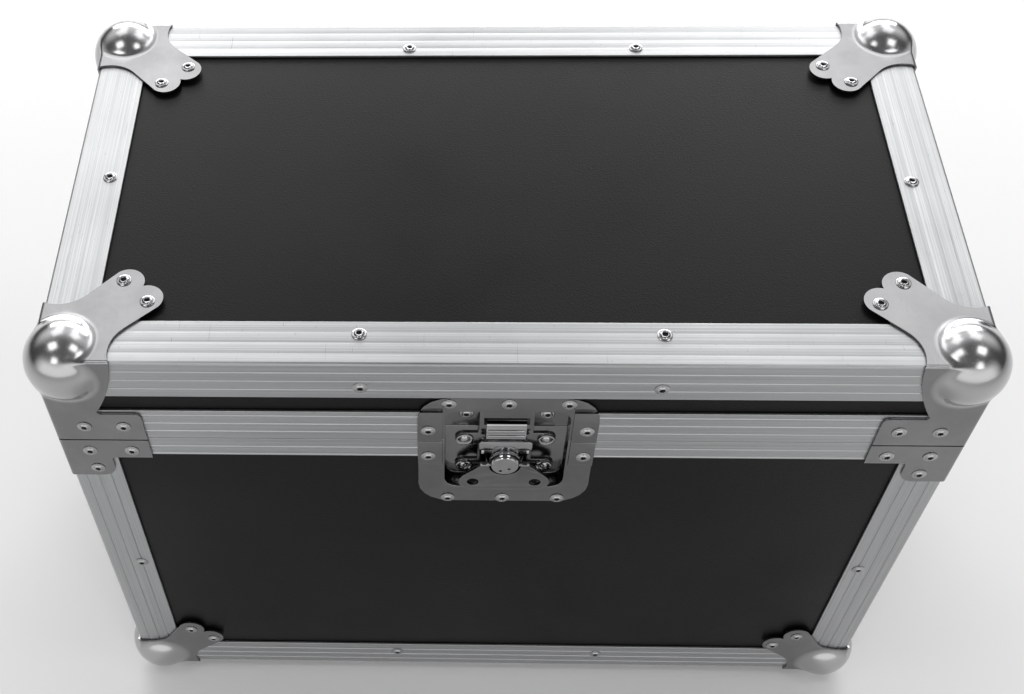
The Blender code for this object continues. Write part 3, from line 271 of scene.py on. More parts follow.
def near_ball(tree, coords):
    """1 on the balls of the corners and 0 past their roots, with the case's eight corners folded
    into one."""
    level = add_node(tree, "ShaderNodeVectorMath", [coords, (0, 0, (ROOF + UNDERSIDE) / 2)],
                     operation="SUBTRACT")
    folded = add_node(tree, "ShaderNodeVectorMath", [level.outputs[0]], operation="ABSOLUTE")
    inset = BALL_INSET * MM
    centre = (HALF_WIDTH - inset, HALF_DEPTH - inset, (ROOF - UNDERSIDE) / 2 - inset)
    reach = add_node(tree, "ShaderNodeVectorMath", [folded.outputs[0], centre],
                     operation="DISTANCE")
    return add_node(tree, "ShaderNodeMapRange", [
        reach.outputs["Value"], BALL_RADIUS * MM, (BALL_RADIUS + BALL_ROOT) * MM, 1.0, 0.0])


def plated_steel(name, roughness, tone, dark_tone, painted_ball_highlight_tone=None):
    """Pressed steel with bright zinc-nickel plate: mirror-like, faintly clouded by handling, with
    hairlines and a slow waviness from the press. Where it is drawn out to a ball, its gloss is a
    little softer and its colour is painted paler, a painted highlight for the brighter reflections
    that the balls show. The hairlines are drawn wider than the real ones, so that they show."""
    material, tree, shader = new_material(name)
    coords = add_node(tree, "ShaderNodeTexCoord").outputs["Object"]
    cloud = add_node(tree, "ShaderNodeTexNoise", {
        "Vector": coords, "Scale": pattern_scale(26), "Detail": 5.0, "Roughness": 0.6})
    wave = add_node(tree, "ShaderNodeTexNoise", {
        "Vector": coords, "Scale": pattern_scale(12), "Detail": 1.0})
    hair = scratches(tree, coords, (0.4, 0.1, 0.5), 18, 0.5, 0.70)
    cross = scratches(tree, coords, (0.2, 0.7, -0.8), 12, 0.5, 0.71)
    marks = add_node(tree, "ShaderNodeMath", [hair, cross], operation="MAXIMUM")
    sunk = add_node(tree, "ShaderNodeMath", [marks.outputs[0], -0.10], operation="MULTIPLY")
    height = add_node(tree, "ShaderNodeMath", [wave.outputs[0], sunk.outputs[0]], operation="ADD")
    bump = add_node(tree, "ShaderNodeBump", {
        "Height": height.outputs[0], "Strength": 0.10, "Distance": 0.3 * MM})
    haze = add_node(tree, "ShaderNodeMapRange", [
        cloud.outputs[0], 0.3, 0.7, roughness * 0.85, roughness * 1.2])
    scuffed = add_node(tree, "ShaderNodeMath", [marks.outputs[0], 0.10], operation="MULTIPLY")
    rough = add_node(tree, "ShaderNodeMath", [haze.outputs[0], scuffed.outputs[0]], operation="ADD")
    colour = add_node(tree, "ShaderNodeValToRGB", {"Fac": cloud.outputs[0]},
                      stops=[(0.25, dark_tone), (0.7, tone)]).outputs["Color"]
    # Painted highlight: a paler tone mixed in on the balls, with a little more roughness there
    if painted_ball_highlight_tone:
        drawn = near_ball(tree, coords).outputs[0]
        colour = add_node(tree, "ShaderNodeMix", {
            "Factor": drawn, "A": colour, "B": linear(painted_ball_highlight_tone)},
            data_type="RGBA").outputs["Result"]
        rough = add_node(tree, "ShaderNodeMath", [drawn, 0.04, rough.outputs[0]],
                         operation="MULTIPLY_ADD")
    set_sockets(tree, shader, {
        "Base Color": colour, "Metallic": 1.0, "Normal": bump.outputs[0],
        "Roughness": rough.outputs[0]})
    return material


def painted_hole_shade():
    """Painted shade at the bottom of a rivet's mandrel hole and a boss dimple's centre: a dark,
    rough metal that stands for the shade down the hole.
    """
    material, tree, shader = new_material("painted_hole_shade")
    set_sockets(tree, shader, {
        "Base Color": linear("#2a2a2a"), "Metallic": 0.6, "Roughness": 0.6})
    return material


def moulded_grip():
    """Black PVC sleeve moulded round a handle's bar: soft sheen and fine pores, which are drawn
    coarser than the real ones, so that they show."""
    material, tree, shader = new_material("moulded_grip")
    coords = add_node(tree, "ShaderNodeTexCoord").outputs["Object"]
    pores = add_node(tree, "ShaderNodeTexNoise", {
        "Vector": coords, "Scale": pattern_scale(0.9), "Detail": 2.0})
    bump = add_node(tree, "ShaderNodeBump", {
        "Height": pores.outputs[0], "Strength": 0.3, "Distance": 0.1 * MM})
    set_sockets(tree, shader, {
        "Base Color": linear("#1a1a1b"), "Roughness": 0.55, "Normal": bump.outputs[0]})
    return material


def studio_floor():
    """Matt white background paper: even and without a sheen."""
    material, tree, shader = new_material("studio_floor")
    set_sockets(tree, shader, {
        "Base Color": linear("#f7f7f7"), "Roughness": 0.9, "Specular IOR Level": 0.2})
    return material


LAMINATE = black_laminate()
ALUMINIUM = {axis: satin_aluminium(axis) for axis in "XYZ"}
# The corner plate's last tone is the painted highlight on its balls
CORNER_PLATE = plated_steel("bright_corner_plate", 0.16, "#8b8b8c", "#7c7c7d", "#b6b6b7")
LATCH_PLATE = plated_steel("bright_latch_plate", 0.15, "#7f7f80", "#717172")
# Hook, yoke, rotor and their small forms: smoother than the dish plate, and painted paler than it,
# a painted highlight for the bright highlights these parts show
LATCH_POLISH_PAINTED_PALE = plated_steel("polished_latch_steel_painted_pale", 0.10, "#b0b0b1", "#a0a0a1")
DULL_PLATE = plated_steel("dull_zinc_plate", 0.28, "#b4b4b5", "#a2a2a3")
RIVET_METAL = plated_steel("turned_rivet_steel", 0.18, "#b2b2b3", "#a2a2a3")
# Painted shade for the bottoms of the rivets' holes and the boss's dimples
HOLE_SHADE = painted_hole_shade()
GRIP = moulded_grip()


# Shapes that operators make

def to_mesh(work, name):
    """Turns a bmesh into a mesh and frees it."""
    mesh = bpy.data.meshes.new(name)
    work.to_mesh(mesh)
    work.free()
    return mesh


def lathe(profile, steps):
    """Bmesh of (radius, height) points in millimetres turned about Z, from axis to axis."""
    work = bmesh.new()
    points = [work.verts.new((radius * MM, 0, height * MM)) for radius, height in profile]
    edges = [work.edges.new(pair) for pair in zip(points, points[1:])]
    bmesh.ops.spin(work, geom=points + edges, cent=(0, 0, 0), axis=(0, 0, 1), angle=2 * math.pi,
                   steps=steps, use_merge=True)
    bmesh.ops.remove_doubles(work, verts=work.verts[:], dist=0.001 * MM)
    bmesh.ops.recalc_face_normals(work, faces=work.faces[:])
    return work


def rounded_block(size, place, radius):
    """Bmesh of a block with all its edges rounded; size and place in metres."""
    work = bmesh.new()
    matrix = Matrix.Translation(place) @ Matrix.Diagonal((*size, 1))
    bmesh.ops.create_cube(work, size=1, matrix=matrix)
    bmesh.ops.bevel(work, geom=work.edges[:], offset=radius, segments=3, profile=0.5,
                    affect="EDGES", material=-1)
    return work


def gathered(template, spots):
    """One mesh of a template at every (place, outward) spot, each with its own turn."""
    work = bmesh.new()
    for index, (place, outward) in enumerate(spots):
        copy = template.copy()
        facing = Vector(outward).to_track_quat("Z", "Y").to_matrix().to_4x4()
        turn = Matrix.Rotation(index * RIVET_TURN, 4, "Z") @ Matrix.Rotation(RIVET_TILT, 4, "X")
        copy.transform(Matrix.Translation(place) @ facing @ turn)
        work.from_mesh(copy)
        bpy.data.meshes.remove(copy)
    return to_mesh(work, "gathered")


# Making pieces

def finish_piece(name, mesh, finish, body, replaces=(), smooth=35):
    """Shades a mesh and puts it on its body; the mesh already holds its place. The finish is one
    material, or a tuple of them that the faces choose from."""
    piece = bpy.data.objects.new(name, mesh)
    bpy.context.scene.collection.objects.link(piece)
    for material in finish if isinstance(finish, tuple) else (finish,):
        mesh.materials.append(material)
    mesh.shade_smooth()
    mesh.set_sharp_from_angle(angle=math.radians(smooth))
    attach(piece, body)
    if replaces:
        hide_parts(*replaces)
    return piece


def cad_copy(node_name):
    """Bmesh of a CAD node with its loose triangles merged back into faces."""
    work = bmesh.new()
    work.from_mesh(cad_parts[node_name].data)
    bmesh.ops.remove_doubles(work, verts=work.verts[:], dist=0.002 * MM)
    bmesh.ops.dissolve_limit(work, angle_limit=math.radians(0.3), verts=work.verts[:],
                             edges=work.edges[:])
    return work


def soften(work, width, angle, segments=2):
    """Rounds every edge of a bmesh sharper than an angle, as a press or a die leaves it."""
    limit = math.radians(angle)
    edges = [edge for edge in work.edges
             if len(edge.link_faces) == 2 and edge.calc_face_angle(0) > limit]
    bmesh.ops.bevel(work, geom=edges, offset=width * MM, offset_type="OFFSET", segments=segments,
                    profile=0.5, affect="EDGES", clamp_overlap=True, material=-1)


def softened(node_name, finish, body, width, segments=2, angle=50):
    """Stands for a CAD node with its sharp edges rounded."""
    work = cad_copy(node_name)
    soften(work, width, angle, segments)
    finish_piece(f"{node_name}_soft", to_mesh(work, node_name), finish, body, (node_name,))


def dress_panels():
    """The panels keep their CAD meshes and only get their laminate."""
    for name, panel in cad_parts.items():
        if not name.endswith("_panel"):
            continue
        if not panel.material_slots:
            panel.data.materials.append(LAMINATE)
        for part_slot in panel.material_slots:
            part_slot.material = LAMINATE


# Corner fittings. A corner's own axes run inwards from its two upright faces and its level
# one, in millimetres, and the outer faces of its plates lie at -PLATE_OUT.

def arc(centre, radius, start, end, steps):
    """Points along an arc, angles in degrees, both ends included."""
    points = []
    for index in range(steps + 1):
        angle = math.radians(start + (end - start) * index / steps)
        points.append((centre[0] + radius * math.cos(angle), centre[1] + radius * math.sin(angle)))
    return points


def lobed_half(side, notch):
    """Hollow neck from the fold, then a lobe up to the notch between the two lobes."""
    neck, lobe, radius = side["neck"], side["lobe"], side["lobe_radius"]
    distance = math.hypot(lobe[0] - neck[0], lobe[1] - neck[1])
    heading = math.degrees(math.atan2(lobe[1] - neck[1], lobe[0] - neck[0]))
    swing = heading + math.degrees(math.acos((side["neck_radius"] + radius) / distance))
    fold = 180 + math.degrees(math.asin((neck[1] + FOLD_BEYOND) / side["neck_radius"]))
    last = math.degrees(math.atan2(notch[1] - lobe[1], notch[0] - lobe[0]))
    hollow = arc(neck, side["neck_radius"], fold, swing, 10)
    return hollow + arc(lobe, radius, swing - 180, last, 18)[1:]


def lobed_plate(first, second):
    """Outline of a plate with a lobe by each fold; the second half has its axes swapped."""
    lobe, other = first["lobe"], second["lobe"][::-1]
    half = math.hypot(lobe[0] - other[0], lobe[1] - other[1]) / 2
    share = math.sqrt(first["lobe_radius"] ** 2 - half * half) / (2 * half)
    notch = ((lobe[0] + other[0]) / 2 + share * (other[1] - lobe[1]),
             (lobe[1] + other[1]) / 2 + share * (lobe[0] - other[0]))
    mirrored = [point[::-1] for point in reversed(lobed_half(second, notch[::-1]))]
    return [(-FOLD_BEYOND, -FOLD_BEYOND), *lobed_half(first, notch), *mirrored[1:]]


def leg_plate():
    """Lid corner's leg: a bowed flank, then a foot that runs along the rim."""
    points = [(-FOLD_BEYOND, -FOLD_BEYOND)]
    points += arc(LEG_FLANK_CENTRE, LEG_FLANK_RADIUS, *LEG_FLANK_SPAN, 12)
    points += arc((ELBOW, LEG_FOOT - ELBOW_RADIUS), ELBOW_RADIUS, 180, 90, 4)[1:]
    points += arc((FOOT_END - TOE_RADIUS, LEG_FOOT + TOE_RADIUS), TOE_RADIUS, -90, 0, 6)
    return points + [(FOOT_END, LEG_DROP), (-FOLD_BEYOND, LEG_DROP)]


def brace_plate():
    """Brace's arm and drop, down from the parting line."""
    points = [(-FOLD_BEYOND, BRACE_GAP), (FOOT_END, BRACE_GAP), (FOOT_END, BRACE_ARM)]
    points += arc((ELBOW, BRACE_ARM + ELBOW_RADIUS), ELBOW_RADIUS, -90, -180, 4)
    points += arc(DROP_CENTRE, DROP_RADIUS, 0, 90, 8)
    return points + [(-FOLD_BEYOND, BRACE_DROP)]


def inside(outline, point):
    """Even-odd test of a point against a closed outline."""
    across, up = point
    within = False
    for (ax, ay), (bx, by) in zip(outline, outline[1:] + outline[:1]):
        if (ay > up) != (by > up) and across < ax + (up - ay) / (by - ay) * (bx - ax):
            within = not within
    return within


def folded_skin(reach, fine, level):
    """Outer faces of folded plates as a rounded block's near side, cut into a grid that is fine
    up to a distance. Level tells whether there is a level plate too."""
    work = bmesh.new()
    middle = Matrix.Translation([(reach - PLATE_OUT) / 2] * 3)
    bmesh.ops.create_cube(work, size=reach + PLATE_OUT, matrix=middle)
    axes = range(3) if level else range(2)
    folds = [edge for edge in work.edges
             if sum(all(vert.co[axis] < 0 for vert in edge.verts) for axis in axes) == 2]
    bmesh.ops.bevel(work, geom=folds, offset=FOLD_ROUND, segments=4, profile=0.5,
                    affect="EDGES", material=-1)
    far = [face for face in work.faces
           if any(all(abs(vert.co[axis] - reach) < 0.01 for vert in face.verts)
                  for axis in range(3))
           or not level and all(vert.co[2] < 0 for vert in face.verts)]
    bmesh.ops.delete(work, geom=far, context="FACES")
    cuts = []
    place = 1.0
    while place < reach:
        cuts.append(place)
        place += FINE_STEP if place < fine else COARSE_STEP
    for axis in range(3):
        normal = [float(axis == other) for other in range(3)]
        for place in cuts:
            everything = work.verts[:] + work.edges[:] + work.faces[:]
            bmesh.ops.bisect_plane(work, geom=everything, dist=0.001, plane_no=normal,
                                   plane_co=[value * place for value in normal])
    return work


def trim_plate(work, facing, across, up, outline):
    """Cuts one plate's faces along its outline and drops what lies outside."""
    def of_plate(face):
        return max(range(3), key=lambda axis: abs(face.normal[axis])) == facing

    for start, end in zip(outline, outline[1:] + outline[:1]):
        low = [min(pair) for pair in zip(start, end)]
        high = [max(pair) for pair in zip(start, end)]
        near = []
        for face in work.faces:
            if not of_plate(face):
                continue
            sides = [[vert.co[axis] for vert in face.verts] for axis in (across, up)]
            if all(min(side) <= top and max(side) >= bottom
                   for side, bottom, top in zip(sides, low, high)):
                near.append(face)
        spot = [0.0, 0.0, 0.0]
        normal = [0.0, 0.0, 0.0]
        spot[across], spot[up] = start
        normal[across], normal[up] = end[1] - start[1], start[0] - end[0]
        edges = {edge for face in near for edge in face.edges}
        points = {vert for face in near for vert in face.verts}
        bmesh.ops.bisect_plane(work, geom=[*points, *edges, *near], dist=0.002, plane_co=spot,
                               plane_no=normal)
    outer = []
    for face in work.faces:
        if of_plate(face):
            centre = face.calc_center_median()
            if not inside(outline, (centre[across], centre[up])):
                outer.append(face)
    bmesh.ops.delete(work, geom=outer, context="FACES")


def blow_ball(work):
    """Moves the skin out to the ball at the corner's point, with a soft root round it."""
    centre = Vector([BALL_INSET] * 3)
    for vert in work.verts:
        offset = vert.co - centre
        reach = offset.length
        point_share = min(max(-max(offset) / reach / BALL_SPREAD, 0), 1)
        fade = point_share * point_share * (3 - 2 * point_share)
        held = reach * (1 - fade) + min(reach, BALL_RADIUS - BALL_ROOT) * fade
        overlap = max(BALL_ROOT - abs(BALL_RADIUS - held), 0) / BALL_ROOT
        blown = max(BALL_RADIUS, held) + overlap * overlap * BALL_ROOT / 4
        vert.co = centre + offset * (blown / reach)


def corner_mesh(outlines, reach, fine, ball):
    """Template of a corner fitting; outlines are for the level, front and end plates."""
    level = outlines[0] is not None
    work = folded_skin(reach, fine, level)
    for outline, (facing, across, up) in zip(outlines, ((2, 0, 1), (1, 0, 2), (0, 1, 2))):
        if outline:
            trim_plate(work, facing, across, up, outline)
    loose = [vert for vert in work.verts if not vert.link_faces]
    bmesh.ops.delete(work, geom=loose, context="VERTS")
    if ball:
        blow_ball(work)
    bmesh.ops.remove_doubles(work, verts=work.verts[:], dist=0.02)
    bmesh.ops.recalc_face_normals(work, faces=work.faces[:])
    inward = Vector((1, 1, 1))
    if sum(face.normal.dot(inward) for face in work.faces) > 0:
        bmesh.ops.reverse_faces(work, faces=work.faces[:])
    bmesh.ops.solidify(work, geom=work.faces[:], thickness=PLATE)
    return to_mesh(work, "corner_template")


def corner_frame(across, along, turn, height, rises):
    """Matrix from a corner's own axes in millimetres to the case."""
    place = Matrix.Translation((across * HALF_WIDTH, along * HALF_DEPTH, height))
    scale = Matrix.Diagonal((MM, MM, MM * rises, 1))
    return place @ Matrix.Rotation(math.radians(turn), 4, "Z") @ scale


def placed_corner(template, matrix):
    """Mesh of a corner fitting in its place, turned outside out again where it was mirrored."""
    work = bmesh.new()
    work.from_mesh(template)
    bmesh.ops.transform(work, matrix=matrix, verts=work.verts[:])
    if matrix.determinant() < 0:
        bmesh.ops.reverse_faces(work, faces=work.faces[:])
    return to_mesh(work, "corner")


def corner_spots(matrix, spots):
    """Rivet spots from (in from the front, in from the end, from the level face, outward axis)."""
    turned = []
    for first, second, third, facing in spots:
        outward = [-float(axis == facing) for axis in range(3)]
        outward = (matrix.to_3x3() @ Vector(outward)).normalized()
        turned.append((matrix @ Vector((first, second, third)), outward))
    return turned


def level_spots(spots):
    """Rivets on the level plate, as (in from the front, in from the end)."""
    return [(first, second, -PLATE_OUT, 2) for first, second in spots]


def upright_spots(spots):
    """The same rivets on the front plate and the end plate, as (in from the edge, from the level
    face)."""
    both = [(inward, -PLATE_OUT, height, 1) for inward, height in spots]
    return both + [(-PLATE_OUT, inward, height, 0) for inward, height in spots]


def build_corner_fittings():
    """Ball corners and braces, pressed from plate; gives the places of their rivets."""
    level_lid = lobed_plate(LID_PLATE, LID_PLATE)
    level_base = lobed_plate(BASE_PLATE, BASE_PLATE)
    post = lobed_plate(BASE_PLATE, POST_PLATE)
    leg = leg_plate()
    brace = brace_plate()
    lid_corner = corner_mesh((level_lid, leg, leg), LID_REACH, BALL_FINE, True)
    base_corner = corner_mesh((level_base, post, post), BASE_REACH, BALL_FINE, True)
    corner_brace = corner_mesh((None, brace, brace), BRACE_REACH, BRACE_FINE, False)
    rivets = {"lid": [], "base": []}
    for name, across, along, turn in CORNERS:
        top = corner_frame(across, along, turn, ROOF, -1)
        foot = corner_frame(across, along, turn, UNDERSIDE, 1)
        middle = corner_frame(across, along, turn, PARTING, -1)
        for label, template, matrix, body in (
                ("lid_ball_corner", lid_corner, top, "lid"),
                ("base_ball_corner", base_corner, foot, "base"),
                ("base_corner_brace", corner_brace, middle, "base")):
            fitting = finish_piece(f"{label}_{name}_pressed", placed_corner(template, matrix),
                                   CORNER_PLATE, body, (f"{label}_{name}",))
            rim = fitting.modifiers.new("rim", "BEVEL")
            rim.width = RIM_ROUND * MM
            rim.segments = 2
            rim.limit_method = "ANGLE"
            rim.angle_limit = math.radians(50)
        rivets["lid"] += corner_spots(
            top, level_spots(LID_LOBE_RIVETS) + upright_spots(LID_FOOT_RIVETS))
        rivets["base"] += corner_spots(
            foot, level_spots(BASE_LOBE_RIVETS) + upright_spots(POST_LOBE_RIVETS))
        rivets["base"] += corner_spots(middle, upright_spots(BRACE_RIVETS))
    for used in (lid_corner, base_corner, corner_brace):
        bpy.data.meshes.remove(used)
    return rivets


# Rivets

def rivet_template():
    """Blind rivet: a thin flange, a low dome and the hole that its mandrel leaves."""
    work = lathe([(0, -0.6), (3.9, -0.6), (4.25, 0.1), (4.2, 0.45), (3.7, 0.75), (3.0, 0.8),
                  (2.65, 1.2), (2.1, 1.5), (1.65, 1.4), (1.45, 1.05), (1.35, 0.3), (0, 0.3)], 20)
    # The faces at the bottom of the mandrel hole take the painted shade
    in_hole = 1.43 * MM
    for face in work.faces:
        centre = face.calc_center_median()
        if math.hypot(centre.x, centre.y) < in_hole and centre.z > 0:
            face.material_index = 1
    return to_mesh(work, "rivet_template")


def extrusion_spots():
    """Rivets along the extrusions, in the middle of each outer leg or just beside a rib."""
    lid_leg = UNDERSIDE + LID_LEG_HEIGHT * MM
    base_leg = UNDERSIDE + BASE_LEG_HEIGHT * MM
    post = UNDERSIDE + POST_HEIGHT * MM
    lid = [((x * MM, y * MM, ROOF), UP) for x, y in ROOF_RIVETS]
    lid += [((x * MM, side * HALF_DEPTH, lid_leg), (0, side, 0))
            for x in LID_LEG_RIVETS for side in (-1, 1)]
    base = []
    for side in (-1, 1):
        lid.append(((side * HALF_WIDTH, 0, lid_leg), (side, 0, 0)))
        base.append(((side * HALF_WIDTH, 0, base_leg), (side, 0, 0)))
        base.append(((side * SOLE_RIVETS[0] * MM, 0, UNDERSIDE), DOWN))
        for x in BASE_RIVETS:
            base.append(((x * MM, side * HALF_DEPTH, base_leg), (0, side, 0)))
            base.append(((x * MM, side * SOLE_RIVETS[1] * MM, UNDERSIDE), DOWN))
        for end in (-1, 1):
            base.append(((end * POST_RIVETS[0] * MM, side * HALF_DEPTH, post), (0, side, 0)))
            base.append(((end * HALF_WIDTH, side * POST_RIVETS[1] * MM, post), (end, 0, 0)))
    return {"lid": lid, "base": base}


def build_rivets(corner_rivets):
    """One piece of rivets for each body and each thing that they hold."""
    template = rivet_template()
    finish = (RIVET_METAL, HOLE_SHADE)
    spots = {"corner": corner_rivets, "extrusion": extrusion_spots(), "latch": latch_spots()}
    for body in ("lid", "base"):
        for slot, places in spots.items():
            finish_piece(f"{body}_{slot}_rivets", gathered(template, places[body]), finish, body)
    for name, side in ENDS:
        finish_piece(f"handle_{name}_rivets", gathered(template, handle_spots(side)), finish,
                     "base")
        for body, places in hinge_spots(side).items():
            finish_piece(f"hinge_{name}_{body}_rivets", gathered(template, places), finish, body)
    bpy.data.meshes.remove(template)


def latch_spots():
    """Rivets round the latch dish's flange, on its side pads and on its floor."""
    return {body: [((x * MM, -HALF_DEPTH + inward * MM, UNDERSIDE + height * MM), FORWARD)
                   for height, inward, places in rows for x in places]
            for body, rows in LATCH_ROWS.items()}


def handle_spots(side):
    """Rivets round a handle dish's flange."""
    face = side * (HALF_WIDTH - FLANGE_IN * MM)
    return [((face, across * MM, HANDLE_MIDDLE + height * MM), (side, 0, 0))
            for across, height in HANDLE_RIVETS]


def hinge_spots(side):
    """Three rivets through each leaf of a hinge."""
    face = HALF_DEPTH + HINGE_LEAF_OUT * MM
    columns = [side * HINGE_MIDDLE * MM + shift * MM for shift in HINGE_RIVETS]
    return {
        "lid": [((x, face, PARTING + HINGE_ABOVE * MM), BACKWARD) for x in columns],
        "base": [((x, face, PARTING - HINGE_BELOW * MM), BACKWARD) for x in columns],
    }


# Latch, hinges and handles

def build_latch():
    """Recessed butterfly latch: its pressings softened, and the small forms that they carry."""
    for name, finish, body, width, segments in (
            ("upper_dish", LATCH_PLATE, "lid", 0.45, 3),
            ("lower_dish", LATCH_PLATE, "base", 0.45, 3),
            ("keeper", LATCH_PLATE, "lid", 0.35, 3),
            ("base_plate", LATCH_PLATE, "base", 0.2, 2),
            ("yoke", LATCH_POLISH_PAINTED_PALE, "latch_slide", 0.3, 2),
            ("hook", LATCH_POLISH_PAINTED_PALE, "latch_hook_body", 0.35, 3),
            ("rotor", LATCH_POLISH_PAINTED_PALE, "latch_turn", 0.25, 2),
            ("wing", LATCH_PLATE, "latch_wing_body", 0.3, 2)):
        softened(f"latch_{name}", finish, body, width, segments)
    build_hook_shoulder()
    build_strap_ribs()
    build_boss_dimples()
    build_eyelets()


def latch_front(node_name):
    """Place along Y of a latch piece's foremost face."""
    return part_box(node_name)[0][1]


def build_hook_shoulder():
    """Pressed ears that stand out either side of the hook's foot, just over the boss. The outline
    is in millimetres from the latch's axis."""
    half = [(0, 10.1), (13.4, 10.1), *arc((13.4, 12.1), 2, -75, 0, 4),
            *arc((13.4, 16.4), 2.1, 0, 90, 5), (0, 18.5)]
    outline = half + [(-x, height) for x, height in reversed(half[1:-1])]
    back = latch_front("latch_hook") + 0.3 * MM
    work = bmesh.new()
    ring = [work.verts.new((x * MM, back, LATCH_AXIS + height * MM)) for x, height in outline]
    plate = work.faces.new(ring)
    sheet = bmesh.ops.extrude_face_region(work, geom=[plate])["geom"]
    moved = [part for part in sheet if isinstance(part, bmesh.types.BMVert)]
    bmesh.ops.translate(work, vec=(0, -0.8 * MM, 0), verts=moved)
    bmesh.ops.recalc_face_normals(work, faces=work.faces[:])
    soften(work, 0.25, 60)
    finish_piece("hook_shoulder", to_mesh(work, "shoulder"), LATCH_POLISH_PAINTED_PALE, "latch_hook_body")


def build_strap_ribs():
    """Two half-round stiffening ribs rolled across the hook's strap."""
    middle = latch_front("latch_hook") + 1.75 * MM
    work = bmesh.new()
    for height, width in ((296.6, 3.2), (292.2, 1.8)):
        block = rounded_block((22 * MM, 1.6 * MM, width * MM),
                              (0, middle, UNDERSIDE + height * MM), 0.7 * MM)
        work.from_mesh(to_mesh(block, "rib"))
    finish_piece("hook_strap_ribs", to_mesh(work, "ribs"), LATCH_POLISH_PAINTED_PALE, "latch_hook_body")


def build_boss_dimples():
    """Two turning dimples in the boss's end face, each with its raised lip."""
    face = latch_front("latch_rotor")
    template = to_mesh(lathe([(0, -0.4), (1.6, -0.4), (1.75, 0.06), (1.45, 0.16), (1.1, 0.05),
                              (0, 0.02)], 16), "dimple")
    # Each dimple's centre takes the painted shade
    for part in template.polygons:
        part.material_index = int(math.hypot(part.center.x, part.center.y) < 0.9 * MM)
    spots = [((x * MM, face, LATCH_AXIS + height * MM), FORWARD)
             for x, height in ((2.6, -2.4), (-2.4, -4.6))]
    finish_piece("boss_dimples", gathered(template, spots), (LATCH_POLISH_PAINTED_PALE, HOLE_SHADE), "latch_turn")
    bpy.data.meshes.remove(template)


def build_eyelets():
    """Rolled eyelets on the carrier plate's ears, each round its own rivet."""
    plate = latch_front("latch_base_plate")
    ring = to_mesh(lathe([(2.9, -0.3), (5.2, -0.3), (5.3, 0.3), (4.9, 1.1), (4.2, 1.3), (3.5, 1.0),
                          (3.2, 0.3), (2.9, -0.3)], 28), "eyelet")
    dome = to_mesh(lathe([(0, -0.3), (2.8, -0.3), (2.8, 0.4), (2.3, 1.0), (1.4, 1.5),
                          (0, 1.7)], 20), "dome")
    spots = [((x * MM, plate, LATCH_AXIS + height * MM), FORWARD)
             for x in (-24, 24) for height in (-14.5, 12.5)]
    finish_piece("carrier_eyelets", gathered(ring, spots), LATCH_POLISH_PAINTED_PALE, "base")
    finish_piece("carrier_rivets", gathered(dome, spots), RIVET_METAL, "base")
    bpy.data.meshes.remove(ring)
    bpy.data.meshes.remove(dome)


def build_hinges():
    for name, _ in ENDS:
        for body in ("base", "lid"):
            softened(f"hinge_{name}_{body}_leaf", DULL_PLATE, body, 0.3)


def grip_sleeve():
    """Bmesh of a sleeve with nine shallow grooves, moulded round a bail's bar."""
    profile = [(3.9, -34), (5.6, -34), (6.2, -33.2)]
    for groove in range(-4, 5):
        middle = groove * 7.2
        profile += [(6.2, middle - 2.6), (5.85, middle - 2.2), (5.85, middle + 2.2),
                    (6.2, middle + 2.6)]
    return lathe(profile + [(6.2, 33.2), (5.6, 34), (3.9, 34), (3.9, -34)], 28)


def build_handles():
    """Dish, bail and a moulded grip sleeve on each end."""
    for name, side in ENDS:
        softened(f"handle_{name}_dish", DULL_PLATE, "base", 0.4, 3)
        softened(f"handle_{name}_bail", DULL_PLATE, f"handle_{name}", 0.3, 2, 60)
        sleeve = grip_sleeve()
        bar = Matrix.Translation(
            (side * (HALF_WIDTH - BAR_IN * MM), 0, HANDLE_MIDDLE - BAR_DROP * MM))
        bmesh.ops.transform(sleeve, matrix=bar @ Matrix.Rotation(math.pi / 2, 4, "X"),
                            verts=sleeve.verts[:])
        finish_piece(f"handle_{name}_grip", to_mesh(sleeve, "grip"), GRIP, f"handle_{name}")


# Extrusions

def fill_grooves(work):
    """Raises the bottoms of the drawn grooves, most where the real bars show only fine steps."""
    sides = ((0, -HALF_WIDTH, 1), (0, HALF_WIDTH, -1), (1, -HALF_DEPTH, 1), (1, HALF_DEPTH, -1),
             (2, UNDERSIDE, 1), (2, ROOF, -1))
    for vert in work.verts:
        for axis, face, inward in sides:
            if abs(vert.co[axis] - face - inward * GROOVE_DRAWN * MM) < 0.01 * MM:
                vert.co[axis] = face + inward * (GROOVE_LEVEL if axis == 2 else GROOVE_UPRIGHT) * MM


def build_bar(node_name, body, axis):
    """Stands for an extrusion, with the small radii that its die leaves."""
    work = cad_copy(node_name)
    fill_grooves(work)
    soften(work, 0.35, 40, 3)
    finish_piece(f"{node_name}_soft", to_mesh(work, node_name), ALUMINIUM[axis], body,
                 (node_name,), smooth=12)


def build_extrusions():
    for body in ("base", "lid"):
        for name in ("edge_front", "edge_back", "rim_front_left", "rim_front_right", "rim_back"):
            build_bar(f"{body}_{name}", body, "X")
        for name in ("edge_left", "edge_right", "rim_left", "rim_right"):
            build_bar(f"{body}_{name}", body, "Y")
    for corner, *_ in CORNERS:
        build_bar(f"base_post_{corner}", "base", "Z")


# Floor, light and camera

BANK = 0.88                     # light of the bank behind, where 1 is white
BANK_RISE = (0.20, 0.50)        # where it fades in and out up the shell, by direction's height
BANK_FALL = (0.72, 1.00)
BANK_BEHIND = (0.10, 0.50)      # and towards the back, by its reach along Y
FRONT = 1.20                    # light of the low band in front
FRONT_FALL = (0.40, 0.72)
FRONT_AHEAD = (-0.60, -0.20)
DIM_LOW = 0.06                  # light of the shell at its foot and overhead
DIM_HIGH = 0.15

